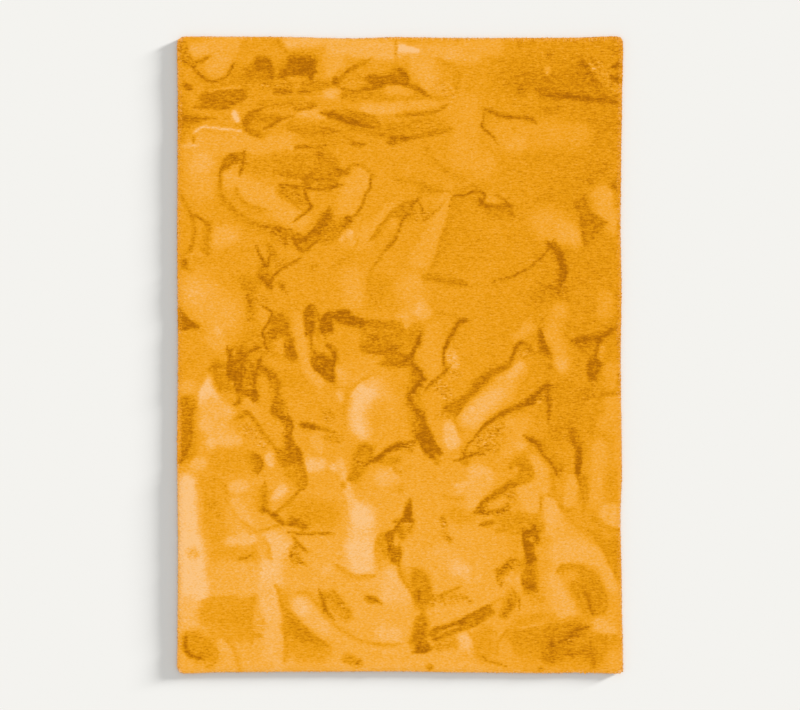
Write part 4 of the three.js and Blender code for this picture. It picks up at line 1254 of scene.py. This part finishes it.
swell = softened(tone)
lumps = LUMP_HEIGHT * rough * lattice_noise(top_x, top_y, LUMP_SPACING, SEEDS["lumps"])
pile_height = PILE_TOP + RISE * np.maximum(swell, 0) + SINK * np.minimum(swell, 0) - groove + lumps
inset = np.minimum(WIDTH / 2 - abs(plain_x), LENGTH / 2 - abs(plain_y))
share = np.minimum(inset / SHOULDER, 1)
roundness = np.sqrt(1 - (1 - share) ** 2)
heights = BULGE_HEIGHT + (pile_height - BULGE_HEIGHT) * roundness
print(f"the pile is {pile_height.min():.1f} to {pile_height.max():.1f} mm high")

# %% [markdown]
# ## One closed skin
# Below the bulge the pile curls back under itself to the cut edge of the cloth, 5 mm further in.
# Two more rings of points make that overhang, and a fan of triangles round the middle closes the
# flat underside, which is the bare knitted ground cloth.

# %% Points and faces of the skin
HEM_RINGS = [(1.2, 3.5), (HEM_INSET, 0)]  # how far in, and how high

grid_index = np.arange(tone.size).reshape(tone.shape)
top_faces = np.stack(
    [grid_index[:-1, :-1], grid_index[:-1, 1:], grid_index[1:, 1:], grid_index[1:, :-1]], axis=-1
).reshape(-1, 4)
rim = np.concatenate(
    [grid_index[0, :-1], grid_index[:-1, -1], grid_index[-1, :0:-1], grid_index[:0:-1, 0]]
)
top_points = np.stack([top_x, top_y, heights], axis=-1).reshape(-1, 3)
point_rings = [top_points]
side_faces = []
above = rim
for ring_inset, ring_height in HEM_RINGS:
    ring_points = top_points[rim] * (1 - 2 * ring_inset / WIDTH, 1 - 2 * ring_inset / LENGTH, 0)
    ring_points[:, 2] = ring_height
    below = np.arange(len(rim)) + sum(map(len, point_rings))
    side_faces.append(np.stack([below, np.roll(below, -1), np.roll(above, -1), above], axis=-1))
    point_rings.append(ring_points)
    above = below
middle = sum(map(len, point_rings))
under_faces = np.stack([np.full(len(rim), middle), np.roll(above, -1), above], axis=-1)
skin_points = np.concatenate([*point_rings, [(0, 0, 0)]])

# %% Build the skin, with its tone and roughness kept on its points
def give_attribute(mesh, name, values):
    """Keeps a number for each point of a mesh, for its material to read."""
    attribute = mesh.attributes.new(name, "FLOAT", "POINT")
    attribute.data.foreach_set("value", np.asarray(values, dtype=np.float32))


def as_piece(name, mesh):
    """Puts a mesh into the scene as a piece of the rug."""
    piece = bpy.data.objects.new(name, mesh)
    bpy.context.collection.objects.link(piece)
    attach(piece, "root")
    return piece


skin_faces = [*top_faces.tolist(), *np.concatenate(side_faces).tolist(), *under_faces.tolist()]
skin_mesh = bpy.data.meshes.new("rug_pile")
skin_mesh.from_pydata((skin_points * MM).tolist(), [], skin_faces)
skin_mesh.shade_smooth()
hanging = [0] * (middle + 1 - tone.size)
give_attribute(skin_mesh, "tone", [*tone.ravel(), *hanging])
give_attribute(skin_mesh, "rough", [*rough.ravel(), *hanging])
rug_pile = as_piece("rug_pile", skin_mesh)
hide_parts("pile_cloth")
skin_triangles = 2 * (len(skin_faces) - len(under_faces)) + len(under_faces)
print(f"the skin has {skin_triangles} triangles")

# %% Lay the skin's map out flat for baking
# The top lies in the map as seen from above, with the hanging pile unfolded round it. The
# underside lies beside it, smaller.
TOP_SCALE, UNDER_SCALE = 0.48, 0.19  # share of the map for each metre
TOP_PLACE, UNDER_PLACE = (0.35, 0.5), (0.85, 0.5)
UNFOLD = 8  # how far out each ring of the hanging pile is laid


def lay_out_skin(mesh):
    """Gives the skin a map in which no two faces overlap."""
    corners = np.empty(len(mesh.loops), dtype=np.int32)
    mesh.loops.foreach_get("vertex_index", corners)
    flat = skin_points[:, :2].copy()
    for number in range(1, len(HEM_RINGS) + 1):
        first = tone.size + (number - 1) * len(rim)
        ring = slice(first, first + len(rim))
        flat[ring] = top_points[rim, :2] * (1 + 2 * UNFOLD * number / WIDTH, 1 + 2 * UNFOLD * number / LENGTH)
    placed = flat[corners] * MM * TOP_SCALE + TOP_PLACE
    under = slice(len(corners) - 3 * len(rim), None)
    placed[under] = skin_points[corners[under], :2] * MM * UNDER_SCALE + UNDER_PLACE
    layer = mesh.uv_layers.new(name="OFBake")
    layer.data.foreach_set("uv", placed.astype(np.float32).ravel())


lay_out_skin(skin_mesh)

# %% [markdown]
# ## Locks of pile
# From a step away the plush is a surface, but at its rim and in roughed-up places single locks
# show: some hundred fibres that cling together in a short, bent, pointed tuft. Hair would be the
# obvious way to make them. Thousands of small meshes joined into one are lighter, export as they
# are, and can be made by a few lines of array arithmetic. Each lock here has three sides and nine
# triangles: two rings of three points, and a tip.

# %% A mesh of many locks
LOCK_RINGS = [(0, 1.0), (1, 0.85)]  # point of the lock's spine, and its width there
LOCK_FACES = [(0, 1, 4, 3), (1, 2, 5, 4), (2, 0, 3, 5), (3, 4, 6), (4, 5, 6), (5, 3, 6)]
LOCK_TRIANGLES = sum(len(face) - 2 for face in LOCK_FACES)
# How far along a lock each of its points lies, and how far across it: two rings, and the tip
LOCK_POINTS = [(place / 2, side * wide) for place, wide in LOCK_RINGS for side in (-1, 1, 0)] + [(1, 0)]
MAP_GAP, SIDE_BREADTH = 0.05, 0.3  # in a lock's square of the map: its gap, and the breadth of a side
Locks = namedtuple("Locks", "spine out width depth tone rough")


def unit(vectors):
    """Vectors of the same directions and of length 1."""
    return vectors / np.maximum(np.linalg.norm(vectors, axis=-1, keepdims=True), 1e-9)


def locks_piece(name, locks):
    """Joins locks into one piece. A spine has three points: root, bend and tip."""
    count = len(locks.width)
    side = unit(np.cross(locks.out, locks.spine[2] - locks.spine[0])) * locks.width[:, None] / 2
    ridge = locks.out * locks.depth[:, None]
    points = np.empty((count, len(LOCK_POINTS), 3))
    for place, wide in LOCK_RINGS:
        ring = 3 * place
        points[:, ring] = locks.spine[place] - side * wide
        points[:, ring + 1] = locks.spine[place] + side * wide
        points[:, ring + 2] = locks.spine[place] + ridge * wide
    points[:, -1] = locks.spine[-1]
    first = len(LOCK_POINTS) * np.arange(count)
    faces = [(first[:, None] + face).tolist() for face in LOCK_FACES]
    mesh = bpy.data.meshes.new(name)
    mesh.from_pydata((points * MM).reshape(-1, 3).tolist(), [], sum(faces, []))
    give_attribute(mesh, "tone", locks.tone.T.ravel())
    give_attribute(mesh, "rough", np.repeat(locks.rough, len(LOCK_POINTS)))
    lay_out_locks(mesh, count)
    print(f"{name}: {count} locks, {LOCK_TRIANGLES * count} triangles")
    return as_piece(name, mesh)


def lay_out_locks(mesh, count):
    """Gives each lock a small square of the map for baking, its three sides next to each other."""
    across = math.ceil(math.sqrt(count))
    cell = np.arange(count)
    corner = np.stack([cell % across, cell // across], axis=-1) / across
    rises = [(0, 0), (1, 0), (1, 1), (0, 1)]
    tips = [(0, 0), (1, 0), (0.5, 1)]
    layout = []
    for number, face in enumerate(LOCK_FACES):
        shape, low, high = (rises, MAP_GAP, 0.5) if len(face) == 4 else (tips, 0.5, 1 - MAP_GAP)
        left = MAP_GAP + SIDE_BREADTH * (number % 3)
        spots = [(left + SIDE_BREADTH * u, low + (high - low) * v) for u, v in shape]
        layout.append((corner[:, None] + np.array(spots) / across).reshape(-1, 2))
    layer = mesh.uv_layers.new(name="OFBake")
    layer.data.foreach_set("uv", np.concatenate(layout).astype(np.float32).ravel())


# %% Reading the painted grids between their points
def read_grid(grid, x, y):
    """The value of a grid at places of the plain rectangle, mixed from the four points round each."""
    i = np.clip(np.searchsorted(columns, x), 1, len(columns) - 1)
    j = np.clip(np.searchsorted(rows, y), 1, len(rows) - 1)
    s = np.clip((x - columns[i - 1]) / (columns[i] - columns[i - 1]), 0, 1)
    t = np.clip((y - rows[j - 1]) / (rows[j] - rows[j - 1]), 0, 1)
    near = grid[j - 1, i - 1] * (1 - s) + grid[j - 1, i] * s
    far = grid[j, i - 1] * (1 - s) + grid[j, i] * s
    return near * (1 - t) + far * t


# %% [markdown]
# ## The rim
# The last rows of pile have no neighbours to lean on, so they roll over the cut edge and hang to
# the floor. The locks here start on the shoulder, bend over the bulge and end just above the
# floor. Their roots are placed in the plain rectangle and moved by the same function as the
# surface, so they follow the waves of the edges and the rounded corners.

# %% Places round the rim
RIM_ROWS = [(14, 1700), (8, 2000), (3, 2000)]  # inset of the roots, and how many locks
RIM_STEP_SHARE = (0.1, 0.9)  # where in its own step round the rim a lock may start
RIM_SCATTER = 2.5  # how far a root may be out of its row
RIM_ROOT_DEPTH = 1.5  # how deep a root is sunk in the pile
RIM_DRIFT = 3  # how far a lock wanders sideways, as a rule
RIM_OVERHANG = (-0.5, 1.2)  # how far a lock hangs past the skin
RIM_BEND, RIM_TIP = (0.62, 0.75), (0.8, 5)  # heights: the bend's as a share of the root's, the tip's in mm
RIM_TILT = 0.8  # how far the open side of a lock faces up, against 1 outwards
RIM_WIDTH, RIM_DEPTH = (4, 7), 0.35  # of a lock, the depth as a share of the width
# Painted light: the rim's locks are painted paler, as pile lying flat over the rim shows its glossy sides,
# and to make up for the shade that falls on the rim's sides.
RIM_PAINTED_LIGHT, RIM_OWN_TONE = 0.6, 0.08  # pile that rolls over lies flat and is paler, no two locks alike


def places_round_rim(count, random):
    """Places round the plain rectangle, one in each equal step, and the way outwards at each."""
    step = 2 * (WIDTH + LENGTH) / count
    run = (np.arange(count) + random.uniform(*RIM_STEP_SHARE, count)) * step
    turns = [0, WIDTH, WIDTH + LENGTH, 2 * WIDTH + LENGTH]
    starts = [(-1, -1), (1, -1), (1, 1), (-1, 1)]
    ways = [(1, 0), (0, 1), (-1, 0), (0, -1)]
    edge = np.searchsorted(turns, run, side="right") - 1
    way = np.array(ways)[edge]
    corner = np.array(starts)[edge] * (WIDTH / 2, LENGTH / 2)
    place = corner + way * (run - np.array(turns)[edge])[:, None]
    outwards = np.stack([way[:, 1], -way[:, 0]], axis=-1)
    return place, outwards


def rim_row(row_inset, count, random):
    """One row of locks that roll over the rim."""
    place, outwards = places_round_rim(count, random)
    root_inset = row_inset + random.uniform(-RIM_SCATTER, RIM_SCATTER, count)
    root = place - outwards * root_inset[:, None]
    sideways = np.stack([-outwards[:, 1], outwards[:, 0]], axis=-1)
    drift = sideways * random.normal(0, RIM_DRIFT, count)[:, None]
    share = root_inset / SHOULDER
    root_height = BULGE_HEIGHT + (PILE_TOP - BULGE_HEIGHT) * np.sqrt(1 - (1 - share) ** 2)
    root_xy = np.stack(on_rug(*root.T), axis=-1)
    rim_xy = np.stack(on_rug(*(place + drift / 2).T), axis=-1)
    overhang = random.uniform(*RIM_OVERHANG, count)[:, None]
    bend = (root_xy + 2 * rim_xy) / 3 + outwards * overhang
    tip = rim_xy + outwards * overhang + drift / 2
    spine = np.stack([
        np.column_stack([root_xy, root_height - RIM_ROOT_DEPTH]),
        np.column_stack([bend, root_height * random.uniform(*RIM_BEND, count)]),
        np.column_stack([tip, random.uniform(*RIM_TIP, count)]),
    ])
    out = unit(np.column_stack([outwards, np.full(count, RIM_TILT)]))
    width = random.uniform(*RIM_WIDTH, count)
    # Painted light: each rim lock is painted paler than the pile at its root.
    lock_tone = read_grid(tone, *root.T) + RIM_PAINTED_LIGHT + random.normal(0, RIM_OWN_TONE, count)
    tones = np.tile(lock_tone, (len(LOCK_POINTS), 1))
    return Locks(spine, out, width, width * RIM_DEPTH, tones, np.zeros(count))


def joined_locks(groups):
    """Several groups of locks as one. Spines and tones list their points first, and then the locks."""
    axes = Locks(spine=1, out=0, width=0, depth=0, tone=1, rough=0)
    return Locks(*(np.concatenate(column, axis) for column, axis in zip(zip(*groups), axes)))


def rim_locks():
    """All the locks that roll over the rim."""
    random = np.random.default_rng(SEEDS["rim"])
    return locks_piece("rim_locks", joined_locks([rim_row(*row, random) for row in RIM_ROWS]))


rolled_rim = rim_locks()

# %% [markdown]
# ## The nap
# The pile is knitted in rows, and its fibres cling together in small flat locks that lie over each
# other like scales, towards the foot of the rug. That gives the plush its fine ripple, 7 or 8 mm
# from one row to the next. Where a hand left the pile standing or pushed it against its nap, the
# locks stand up and point every way, and the ripple breaks up into a crumb. So every lock is laid by
# the same rule, from the tone and the roughness where it lies, in three bands of the rug to keep each
# mesh small.

# %% Lay rows of locks over the whole top
NAP_ROW, NAP_STEP = 7.6, 12  # from row to row, and from lock to lock in a row
NAP_SCATTER_X, NAP_SCATTER_Y = 3, 1.6  # how far a root may be out of its place
ROW_WAVE, ROW_WAVE_SPACING = 3, 40  # how far the rows wave, and how wide their waves are
NAP_CLEAR = 12  # the rim's own locks take over this near the edge
NAP_EDGE = 5  # scattered roots come no nearer to it than this
NAP_BANDS = {"nap_locks_head": (300, 1000), "nap_locks_middle": (-350, 300), "nap_locks_foot": (-1000, -350)}
NAP_HEADING = -math.pi / 2
NAP_REGION = 130  # how wide a region is
NAP_WANDER, NAP_TURN = math.radians(35), math.radians(14)  # by region, and from lock to lock
STANDING_TONES = (-0.1, -0.8)  # pile of the first tone lies, and pile of the second stands
NAP_LENGTH, NAP_WIDTH = (10, 14), (12, 18)  # of a lock that lies
NAP_SHORTER, NAP_NARROWER = 3, 8  # how much less a lock that stands has of both
NAP_LIFT_SHARE = (0.2, 1)  # how much of the full lift a lock gets
LYING_LIFT, EXTRA_LIFT = 0.3, 0.6  # full lift of a lock that lies, and what standing adds to it
OWN_TONE, EXTRA_TONE = 0.03, 0.1  # spread of the locks' own tones, and what rough pile adds to it
NAP_SPINE = [(0, -1.2), (0.5, 0), (1, -0.1)]  # root, bend and tip: how far along, and how high
NAP_DEPTH = 0.3  # of a lock without lift
UP = np.array([0, 0, 1.0])


def nap_roots(low, high, random):
    """Roots in staggered rows, a little out of line, from one y of the rug to another."""
    first, last = max(low, NAP_CLEAR - LENGTH / 2), min(high, LENGTH / 2 - NAP_CLEAR)
    places = np.arange(NAP_CLEAR - WIDTH / 2, WIDTH / 2 - NAP_CLEAR, NAP_STEP)
    x, y = np.meshgrid(places, np.arange(first, last, NAP_ROW))
    x[::2] += NAP_STEP / 2
    x += random.uniform(-NAP_SCATTER_X, NAP_SCATTER_X, x.shape)
    wave = ROW_WAVE * lattice_noise(x, y, ROW_WAVE_SPACING, SEEDS["nap rows"])
    y += wave + random.uniform(-NAP_SCATTER_Y, NAP_SCATTER_Y, y.shape)
    far_x, far_y = WIDTH / 2 - NAP_EDGE, LENGTH / 2 - NAP_EDGE
    return np.clip(x.ravel(), -far_x, far_x), np.clip(y.ravel(), -far_y, far_y)


def nap_locks(name, low, high):
    """The locks of one band of the rug, lying or standing as the sweeps left them."""
    random = np.random.default_rng(abs(low))  # each band has a seed of its own
    x, y = nap_roots(low, high, random)
    count = len(x)
    here_rough = read_grid(rough, x, y)
    stands = np.maximum(smooth_rise(*STANDING_TONES, read_grid(tone, x, y)), here_rough)
    wander = NAP_WANDER * lattice_noise(x, y, NAP_REGION, SEEDS["nap lean"])
    turn = wander + NAP_TURN * random.normal(0, 1, count)
    heading = NAP_HEADING + turn + here_rough * random.uniform(-math.pi, math.pi, count)
    length = random.uniform(*NAP_LENGTH, count) - NAP_SHORTER * stands
    ahead = np.stack([np.cos(heading), np.sin(heading)]) * length
    lift = random.uniform(*NAP_LIFT_SHARE, count) * (LYING_LIFT + EXTRA_LIFT * stands)
    own = random.normal(0, 1, count) * (OWN_TONE + EXTRA_TONE * here_rough)
    width = random.uniform(*NAP_WIDTH, count) - NAP_NARROWER * stands
    across = np.stack([-np.sin(heading), np.cos(heading)]) * width / 2
    spine = []
    for reach, rise in NAP_SPINE:
        place = (x, y) + reach * ahead
        height = read_grid(heights, *place) + rise + lift * (reach > 0)
        spine.append(np.column_stack([*on_rug(*place), height]))
    tones = [read_grid(tone, *((x, y) + reach * ahead + aside * across)) for reach, aside in LOCK_POINTS]
    out = np.tile(UP, (count, 1))
    depth = NAP_DEPTH + lift / 2
    return locks_piece(name, Locks(np.stack(spine), out, width, depth, np.stack(tones) + own, here_rough))


nap = [nap_locks(name, low, high) for name, (low, high) in NAP_BANDS.items()]

# %% [markdown]
# ## The look of plush
# The pile's colour follows its tone: from a brown-gold in the cracks, where little light comes back
# out, over the deep golden yellow of standing pile, to the pale apricot of pile that lies flat and
# shows its glossy sides. A colour ramp does that. The painted tones are about 5.6 mm apart, so finer
# texture comes from noise in the material: a fibre-fine grain, faint wider blotches, a ripple that
# lies across the rug and is stronger where the pile stands, and specks of light and dark in rough
# pile. The skin and both kinds of locks wear the same plush, so this is a node group with named
# sockets, built once.

# %% Helpers for node trees
def add_node(tree, kind, **settings):
    """Adds a node to a tree. Settings are the node's own options."""
    node = tree.nodes.new(kind)
    for name, value in settings.items():
        setattr(node, name, value)
    return node


def plug(tree, source, target):
    """Links an output to an input, or sets the input to a plain value."""
    if isinstance(source, bpy.types.NodeSocket):
        tree.links.new(source, target)
    else:
        target.default_value = source


def calculate(tree, operation, first, second=0.0, third=0.0):
    """Adds a Math node and gives its output."""
    node = add_node(tree, "ShaderNodeMath", operation=operation)
    for target, source in zip(node.inputs, (first, second, third)):
        plug(tree, source, target)
    return node.outputs[0]


def new_group(name, inputs, outputs):
    """Makes a node group with named sockets. Gives the group and its two end nodes."""
    group = bpy.data.node_groups.new(name, "ShaderNodeTree")
    for in_out, sockets in (("INPUT", inputs), ("OUTPUT", outputs)):
        for socket_name, kind in sockets:
            group.interface.new_socket(socket_name, in_out=in_out, socket_type=f"NodeSocket{kind}")
    return group, add_node(group, "NodeGroupInput"), add_node(group, "NodeGroupOutput")


# %% Fibre grain: fine noise round zero, at a stated size
NOISE_GAIN = 4  # most of the plain noise lies within a quarter of its middle


def fibre_grain_group():
    """Noise from about -1 to 1, stretched along each axis as its Pitch says."""
    group, given, result = new_group(
        "Fibre grain", [("Pitch", "Vector"), ("Detail", "Float")], [("Value", "Float")]
    )
    place = add_node(group, "ShaderNodeTexCoord")
    scaled = add_node(group, "ShaderNodeVectorMath", operation="MULTIPLY")
    group.links.new(place.outputs["Object"], scaled.inputs[0])
    group.links.new(given.outputs["Pitch"], scaled.inputs[1])
    noise = add_node(group, "ShaderNodeTexNoise")
    noise.inputs["Scale"].default_value = 1
    group.links.new(scaled.outputs[0], noise.inputs["Vector"])
    group.links.new(given.outputs["Detail"], noise.inputs["Detail"])
    centred = calculate(group, "SUBTRACT", noise.outputs["Fac"], 0.5)
    group.links.new(calculate(group, "MULTIPLY", centred, NOISE_GAIN), result.inputs["Value"])
    return group


FIBRE_GRAIN = fibre_grain_group()


def grain(tree, pitch, detail=2.0):
    """Places the fibre grain in a tree. Pitch is how many waves there are in a metre."""
    node = add_node(tree, "ShaderNodeGroup", node_tree=FIBRE_GRAIN)
    node.inputs["Pitch"].default_value = pitch
    node.inputs["Detail"].default_value = detail
    return node.outputs["Value"]


# %% Swept plush: from tone and roughness to colour and height
TONE_COLOURS = [
    # tone, colour in the photograph's own display values
    (-1.0, 0xAF6702),
    (-0.8, 0xBD7203),
    (-0.5, 0xD18405),
    (-0.2, 0xE3960C),
    (0.0, 0xEB9D1B),
    (0.35, 0xF1A838),
    (0.7, 0xF4B45E),
    (1.0, 0xF6C07E),
]
LIGHT_LEVEL = 1.06  # a white thing on this floor comes out this bright
RUG_LEVEL = 1.12  # the rug gets more, for the shade between its own locks
Texture = namedtuple("Texture", "pitch detail tone height")
# Except the blotches, each texture paints the pile paler where it raises the height and darker where it
# lowers it: painted light on the crests and painted shade in the dips of a real bump.
TEXTURES = {
    # waves in a metre along x, y and z, detail, and how much it adds to the tone and to the height
    "fine": Texture((140, 260, 230), 1, 0.28, 0.25),
    "blotch": Texture((24, 24, 24), 2, 0.05, 0),
    "ripple": Texture((60, 220, 100), 1, 0.42, 0.35),
    "specks": Texture((90, 220, 150), 2, 0.7, 0.6),
}
STANDING_SLOPE, STANDING_START = -0.6, 0.55  # the darker the pile, the more it stands and ripples
STANDING_LEAST, STANDING_MOST = 0.2, 0.8


def surface_colour(display):
    """The colour that a surface needs to come out as a display colour in this light."""
    channels = [(display >> shift & 255) / 255 for shift in (16, 8, 0)]
    # The sRGB curve turns a display value into the light that it stands for
    linear = [c / 12.92 if c <= 0.04045 else ((c + 0.055) / 1.055) ** 2.4 for c in channels]
    return (*(value / LIGHT_LEVEL for value in linear), 1)


def swept_plush_group():
    """Colour and height of the pile at a tone, with the texture that is finer than the mesh."""
    group, given, result = new_group(
        "Swept plush", [("Tone", "Float"), ("Rough", "Float")], [("Color", "Color"), ("Height", "Float")]
    )
    grains = {name: grain(group, texture.pitch, texture.detail) for name, texture in TEXTURES.items()}
    standing = calculate(group, "MULTIPLY_ADD", given.outputs["Tone"], STANDING_SLOPE, STANDING_START)
    standing = calculate(group, "MAXIMUM", standing, STANDING_LEAST)
    standing = calculate(group, "MINIMUM", standing, STANDING_MOST)
    grains["ripple"] = calculate(group, "MULTIPLY", grains["ripple"], standing)
    grains["specks"] = calculate(group, "MULTIPLY", grains["specks"], given.outputs["Rough"])
    shade, height = given.outputs["Tone"], 0.0
    for name, texture in TEXTURES.items():
        # Painted light and shade: where a texture has height, the tone is paler on its crests and darker in
        # its dips.
        shade = calculate(group, "MULTIPLY_ADD", grains[name], texture.tone, shade)
        if texture.height:
            height = calculate(group, "MULTIPLY_ADD", grains[name], texture.height, height)
    ramp = add_node(group, "ShaderNodeValToRGB")
    stops = ramp.color_ramp.elements
    while len(stops) < len(TONE_COLOURS):
        stops.new(0.5)
    for stop, (tone_value, colour) in zip(stops, TONE_COLOURS):
        stop.position = (tone_value + 1) / 2
        stop.color = surface_colour(colour)
    group.links.new(calculate(group, "MULTIPLY_ADD", shade, 0.5, 0.5), ramp.inputs["Fac"])
    group.links.new(ramp.outputs["Color"], result.inputs["Color"])
    group.links.new(height, result.inputs["Height"])
    return group


SWEPT_PLUSH = swept_plush_group()

# %% The plush material
def fresh_material(name):
    """A material with only its Principled BSDF and its output."""
    material = bpy.data.materials.new(name)
    material.use_nodes = True
    return material, material.node_tree, material.node_tree.nodes["Principled BSDF"]


def plush_material():
    """Golden yellow plush, matt, with a soft sheen at grazing angles."""
    material, tree, shader = fresh_material("golden_plush")
    plush = add_node(tree, "ShaderNodeGroup", node_tree=SWEPT_PLUSH)
    for attribute, socket in (("tone", "Tone"), ("rough", "Rough")):
        reader = add_node(tree, "ShaderNodeAttribute", attribute_name=attribute)
        tree.links.new(reader.outputs["Fac"], plush.inputs[socket])
    tree.links.new(plush.outputs["Color"], shader.inputs["Base Color"])
    bump = add_node(tree, "ShaderNodeBump")
    bump.inputs["Strength"].default_value = 0.5
    bump.inputs["Distance"].default_value = 0.0015
    tree.links.new(plush.outputs["Height"], bump.inputs["Height"])
    tree.links.new(bump.outputs["Normal"], shader.inputs["Normal"])
    shader.inputs["Roughness"].default_value = 0.92
    shader.inputs["Specular IOR Level"].default_value = 0.04
    shader.inputs["Sheen Weight"].default_value = 0.08
    shader.inputs["Sheen Roughness"].default_value = 0.5
    shader.inputs["Sheen Tint"].default_value = (1, 0.6, 0.2, 1)
    return material


golden_plush = plush_material()
plush_pieces = [rug_pile, rolled_rim, *nap]
for piece in plush_pieces:
    piece.data.materials.append(golden_plush)

# %% [markdown]
# ## The underside
# The photograph doesn't show the back. On plush it is the ground cloth that the pile is knitted
# into, so it gets rows of fine knitted loops, in a duller shade of the same yellow.

# %% Ground cloth
CLOTH_GRAIN = (300, 300, 300)
LOOP_ROWS = [("X", 60, 0.5), ("Y", 90, 0.35)]  # direction, closeness and strength of the rows of loops
CLOTH_PAINTED_SHADE = (0.4, 0.3)  # how much the height changes the shade, and the shade at height 0


def ground_cloth_material():
    """Plain knitted cloth: rows of loops, with the same fibre grain as the pile."""
    material, tree, shader = fresh_material("ground_cloth")
    place = add_node(tree, "ShaderNodeTexCoord")
    height = grain(tree, CLOTH_GRAIN)
    for direction, scale, weight in LOOP_ROWS:
        loops = add_node(tree, "ShaderNodeTexWave", bands_direction=direction)
        loops.inputs["Scale"].default_value = scale
        tree.links.new(place.outputs["Object"], loops.inputs["Vector"])
        height = calculate(tree, "MULTIPLY_ADD", loops.outputs["Fac"], weight, height)
    ramp = add_node(tree, "ShaderNodeValToRGB")
    ramp.color_ramp.elements[0].color = surface_colour(0xA87A30)
    ramp.color_ramp.elements[1].color = surface_colour(0xD8A955)
    # Painted shade: the cloth's colour is darker where its loops and grain are low, and paler where they are
    # high.
    tree.links.new(calculate(tree, "MULTIPLY_ADD", height, *CLOTH_PAINTED_SHADE), ramp.inputs["Fac"])
    tree.links.new(ramp.outputs["Color"], shader.inputs["Base Color"])
    bump = add_node(tree, "ShaderNodeBump")
    bump.inputs["Strength"].default_value = 0.4
    bump.inputs["Distance"].default_value = 0.0006
    tree.links.new(height, bump.inputs["Height"])
    tree.links.new(bump.outputs["Normal"], shader.inputs["Normal"])
    shader.inputs["Roughness"].default_value = 0.9
    shader.inputs["Specular IOR Level"].default_value = 0.15
    return material


skin_mesh.materials.append(ground_cloth_material())
under = skin_mesh.polygons[len(skin_mesh.polygons) - len(under_faces) :]
for face in under:
    face.material_index = 1
    face.use_smooth = False

# %% [markdown]
# ## Floor, light and camera
# The photograph is a product shot from straight above, on a pale floor. The rug itself is lit
# evenly: its rim is as bright on the left as on the right. Yet its shadow reaches about 140 mm to the
# left and 60 mm below it, and there is none on the other two sides. So half of the light comes from
# all round, and the rest from two lamps with flags before them, which Blender calls light linking:
# a soft one high up that lights only the rug, and a low one at the upper right for the floor alone.
# The colours above are worked out for this light, so the display shows them with no film look.

# %% A pale floor
FLOOR_SIZE = 14
FLOOR_DROP = 0.0004  # keeps the floor just clear of the underside

bpy.ops.mesh.primitive_plane_add(size=FLOOR_SIZE, location=(0, 0, -FLOOR_DROP))
floor = bpy.context.object
floor.name = "floor"
floor_material, _, floor_shader = fresh_material("pale_floor")
floor_shader.inputs["Base Color"].default_value = (0.853, 0.845, 0.815, 1)
floor_shader.inputs["Roughness"].default_value = 0.9
floor_shader.inputs["Specular IOR Level"].default_value = 0
floor.data.materials.append(floor_material)

# %% Light from all round, and two lamps with flags
WORLD_LEVEL = 0.66  # brightness that the room gives to a white thing on the floor
LAMPS = {
    # name: level with the room's, azimuth, elevation and breadth in degrees, and what it lights
    "low_lamp": (LIGHT_LEVEL, 24, 10, 10, [floor]),
    "high_lamp": (RUG_LEVEL, 50, 80, 80, plush_pieces),
}


def flagged_lamp(name, level, azimuth, elevation, breadth, lit):
    """A distant soft lamp that brings only some of the things in the scene up to a level."""
    data = bpy.data.lights.new(name, "SUN")
    data.energy = (level - WORLD_LEVEL) * math.pi / math.sin(math.radians(elevation))
    data.angle = math.radians(breadth)
    lamp = bpy.data.objects.new(name, data)
    lamp.rotation_euler = (0, math.radians(90 - elevation), math.radians(azimuth))
    bpy.context.collection.objects.link(lamp)
    receivers = bpy.data.collections.new(f"lit_by_{name}")
    for thing in lit:
        receivers.objects.link(thing)
    lamp.light_linking.receiver_collection = receivers


world = bpy.data.worlds.new("pale_room")
bpy.context.scene.world = world
world.use_nodes = True
world.node_tree.nodes["Background"].inputs["Color"].default_value = (1, 1, 1, 1)
world.node_tree.nodes["Background"].inputs["Strength"].default_value = WORLD_LEVEL
for name, lamp in LAMPS.items():
    flagged_lamp(name, *lamp)
bpy.context.scene.view_settings.view_transform = "Standard"

# %% The camera, straight above
PHOTO_WIDTH, PHOTO_HEIGHT = 800, 710  # the photograph's pixels
RUG_TOP, RUG_BOTTOM = 36, 673  # first and last row of pixels that show the rug
RUG_MIDDLE = (400, 355)
LENS, SENSOR = 85, 36

pixel = LENGTH * MM / (RUG_BOTTOM - RUG_TOP)
camera_data = bpy.data.cameras.new("camera")
camera_data.lens = LENS
camera_data.sensor_width = SENSOR
camera_data.clip_end = 100
camera = bpy.data.objects.new("camera", camera_data)
distance = PHOTO_WIDTH * pixel * LENS / SENSOR
middle_x = (PHOTO_WIDTH / 2 - RUG_MIDDLE[0]) * pixel
middle_y = (RUG_MIDDLE[1] - PHOTO_HEIGHT / 2) * pixel
camera.location = (middle_x, middle_y, distance + PILE_TOP / 2 * MM)
bpy.context.collection.objects.link(camera)
bpy.context.scene.camera = camera
print(f"a pixel is {pixel / MM:.2f} mm, and the camera hangs {distance:.2f} m above the rug")
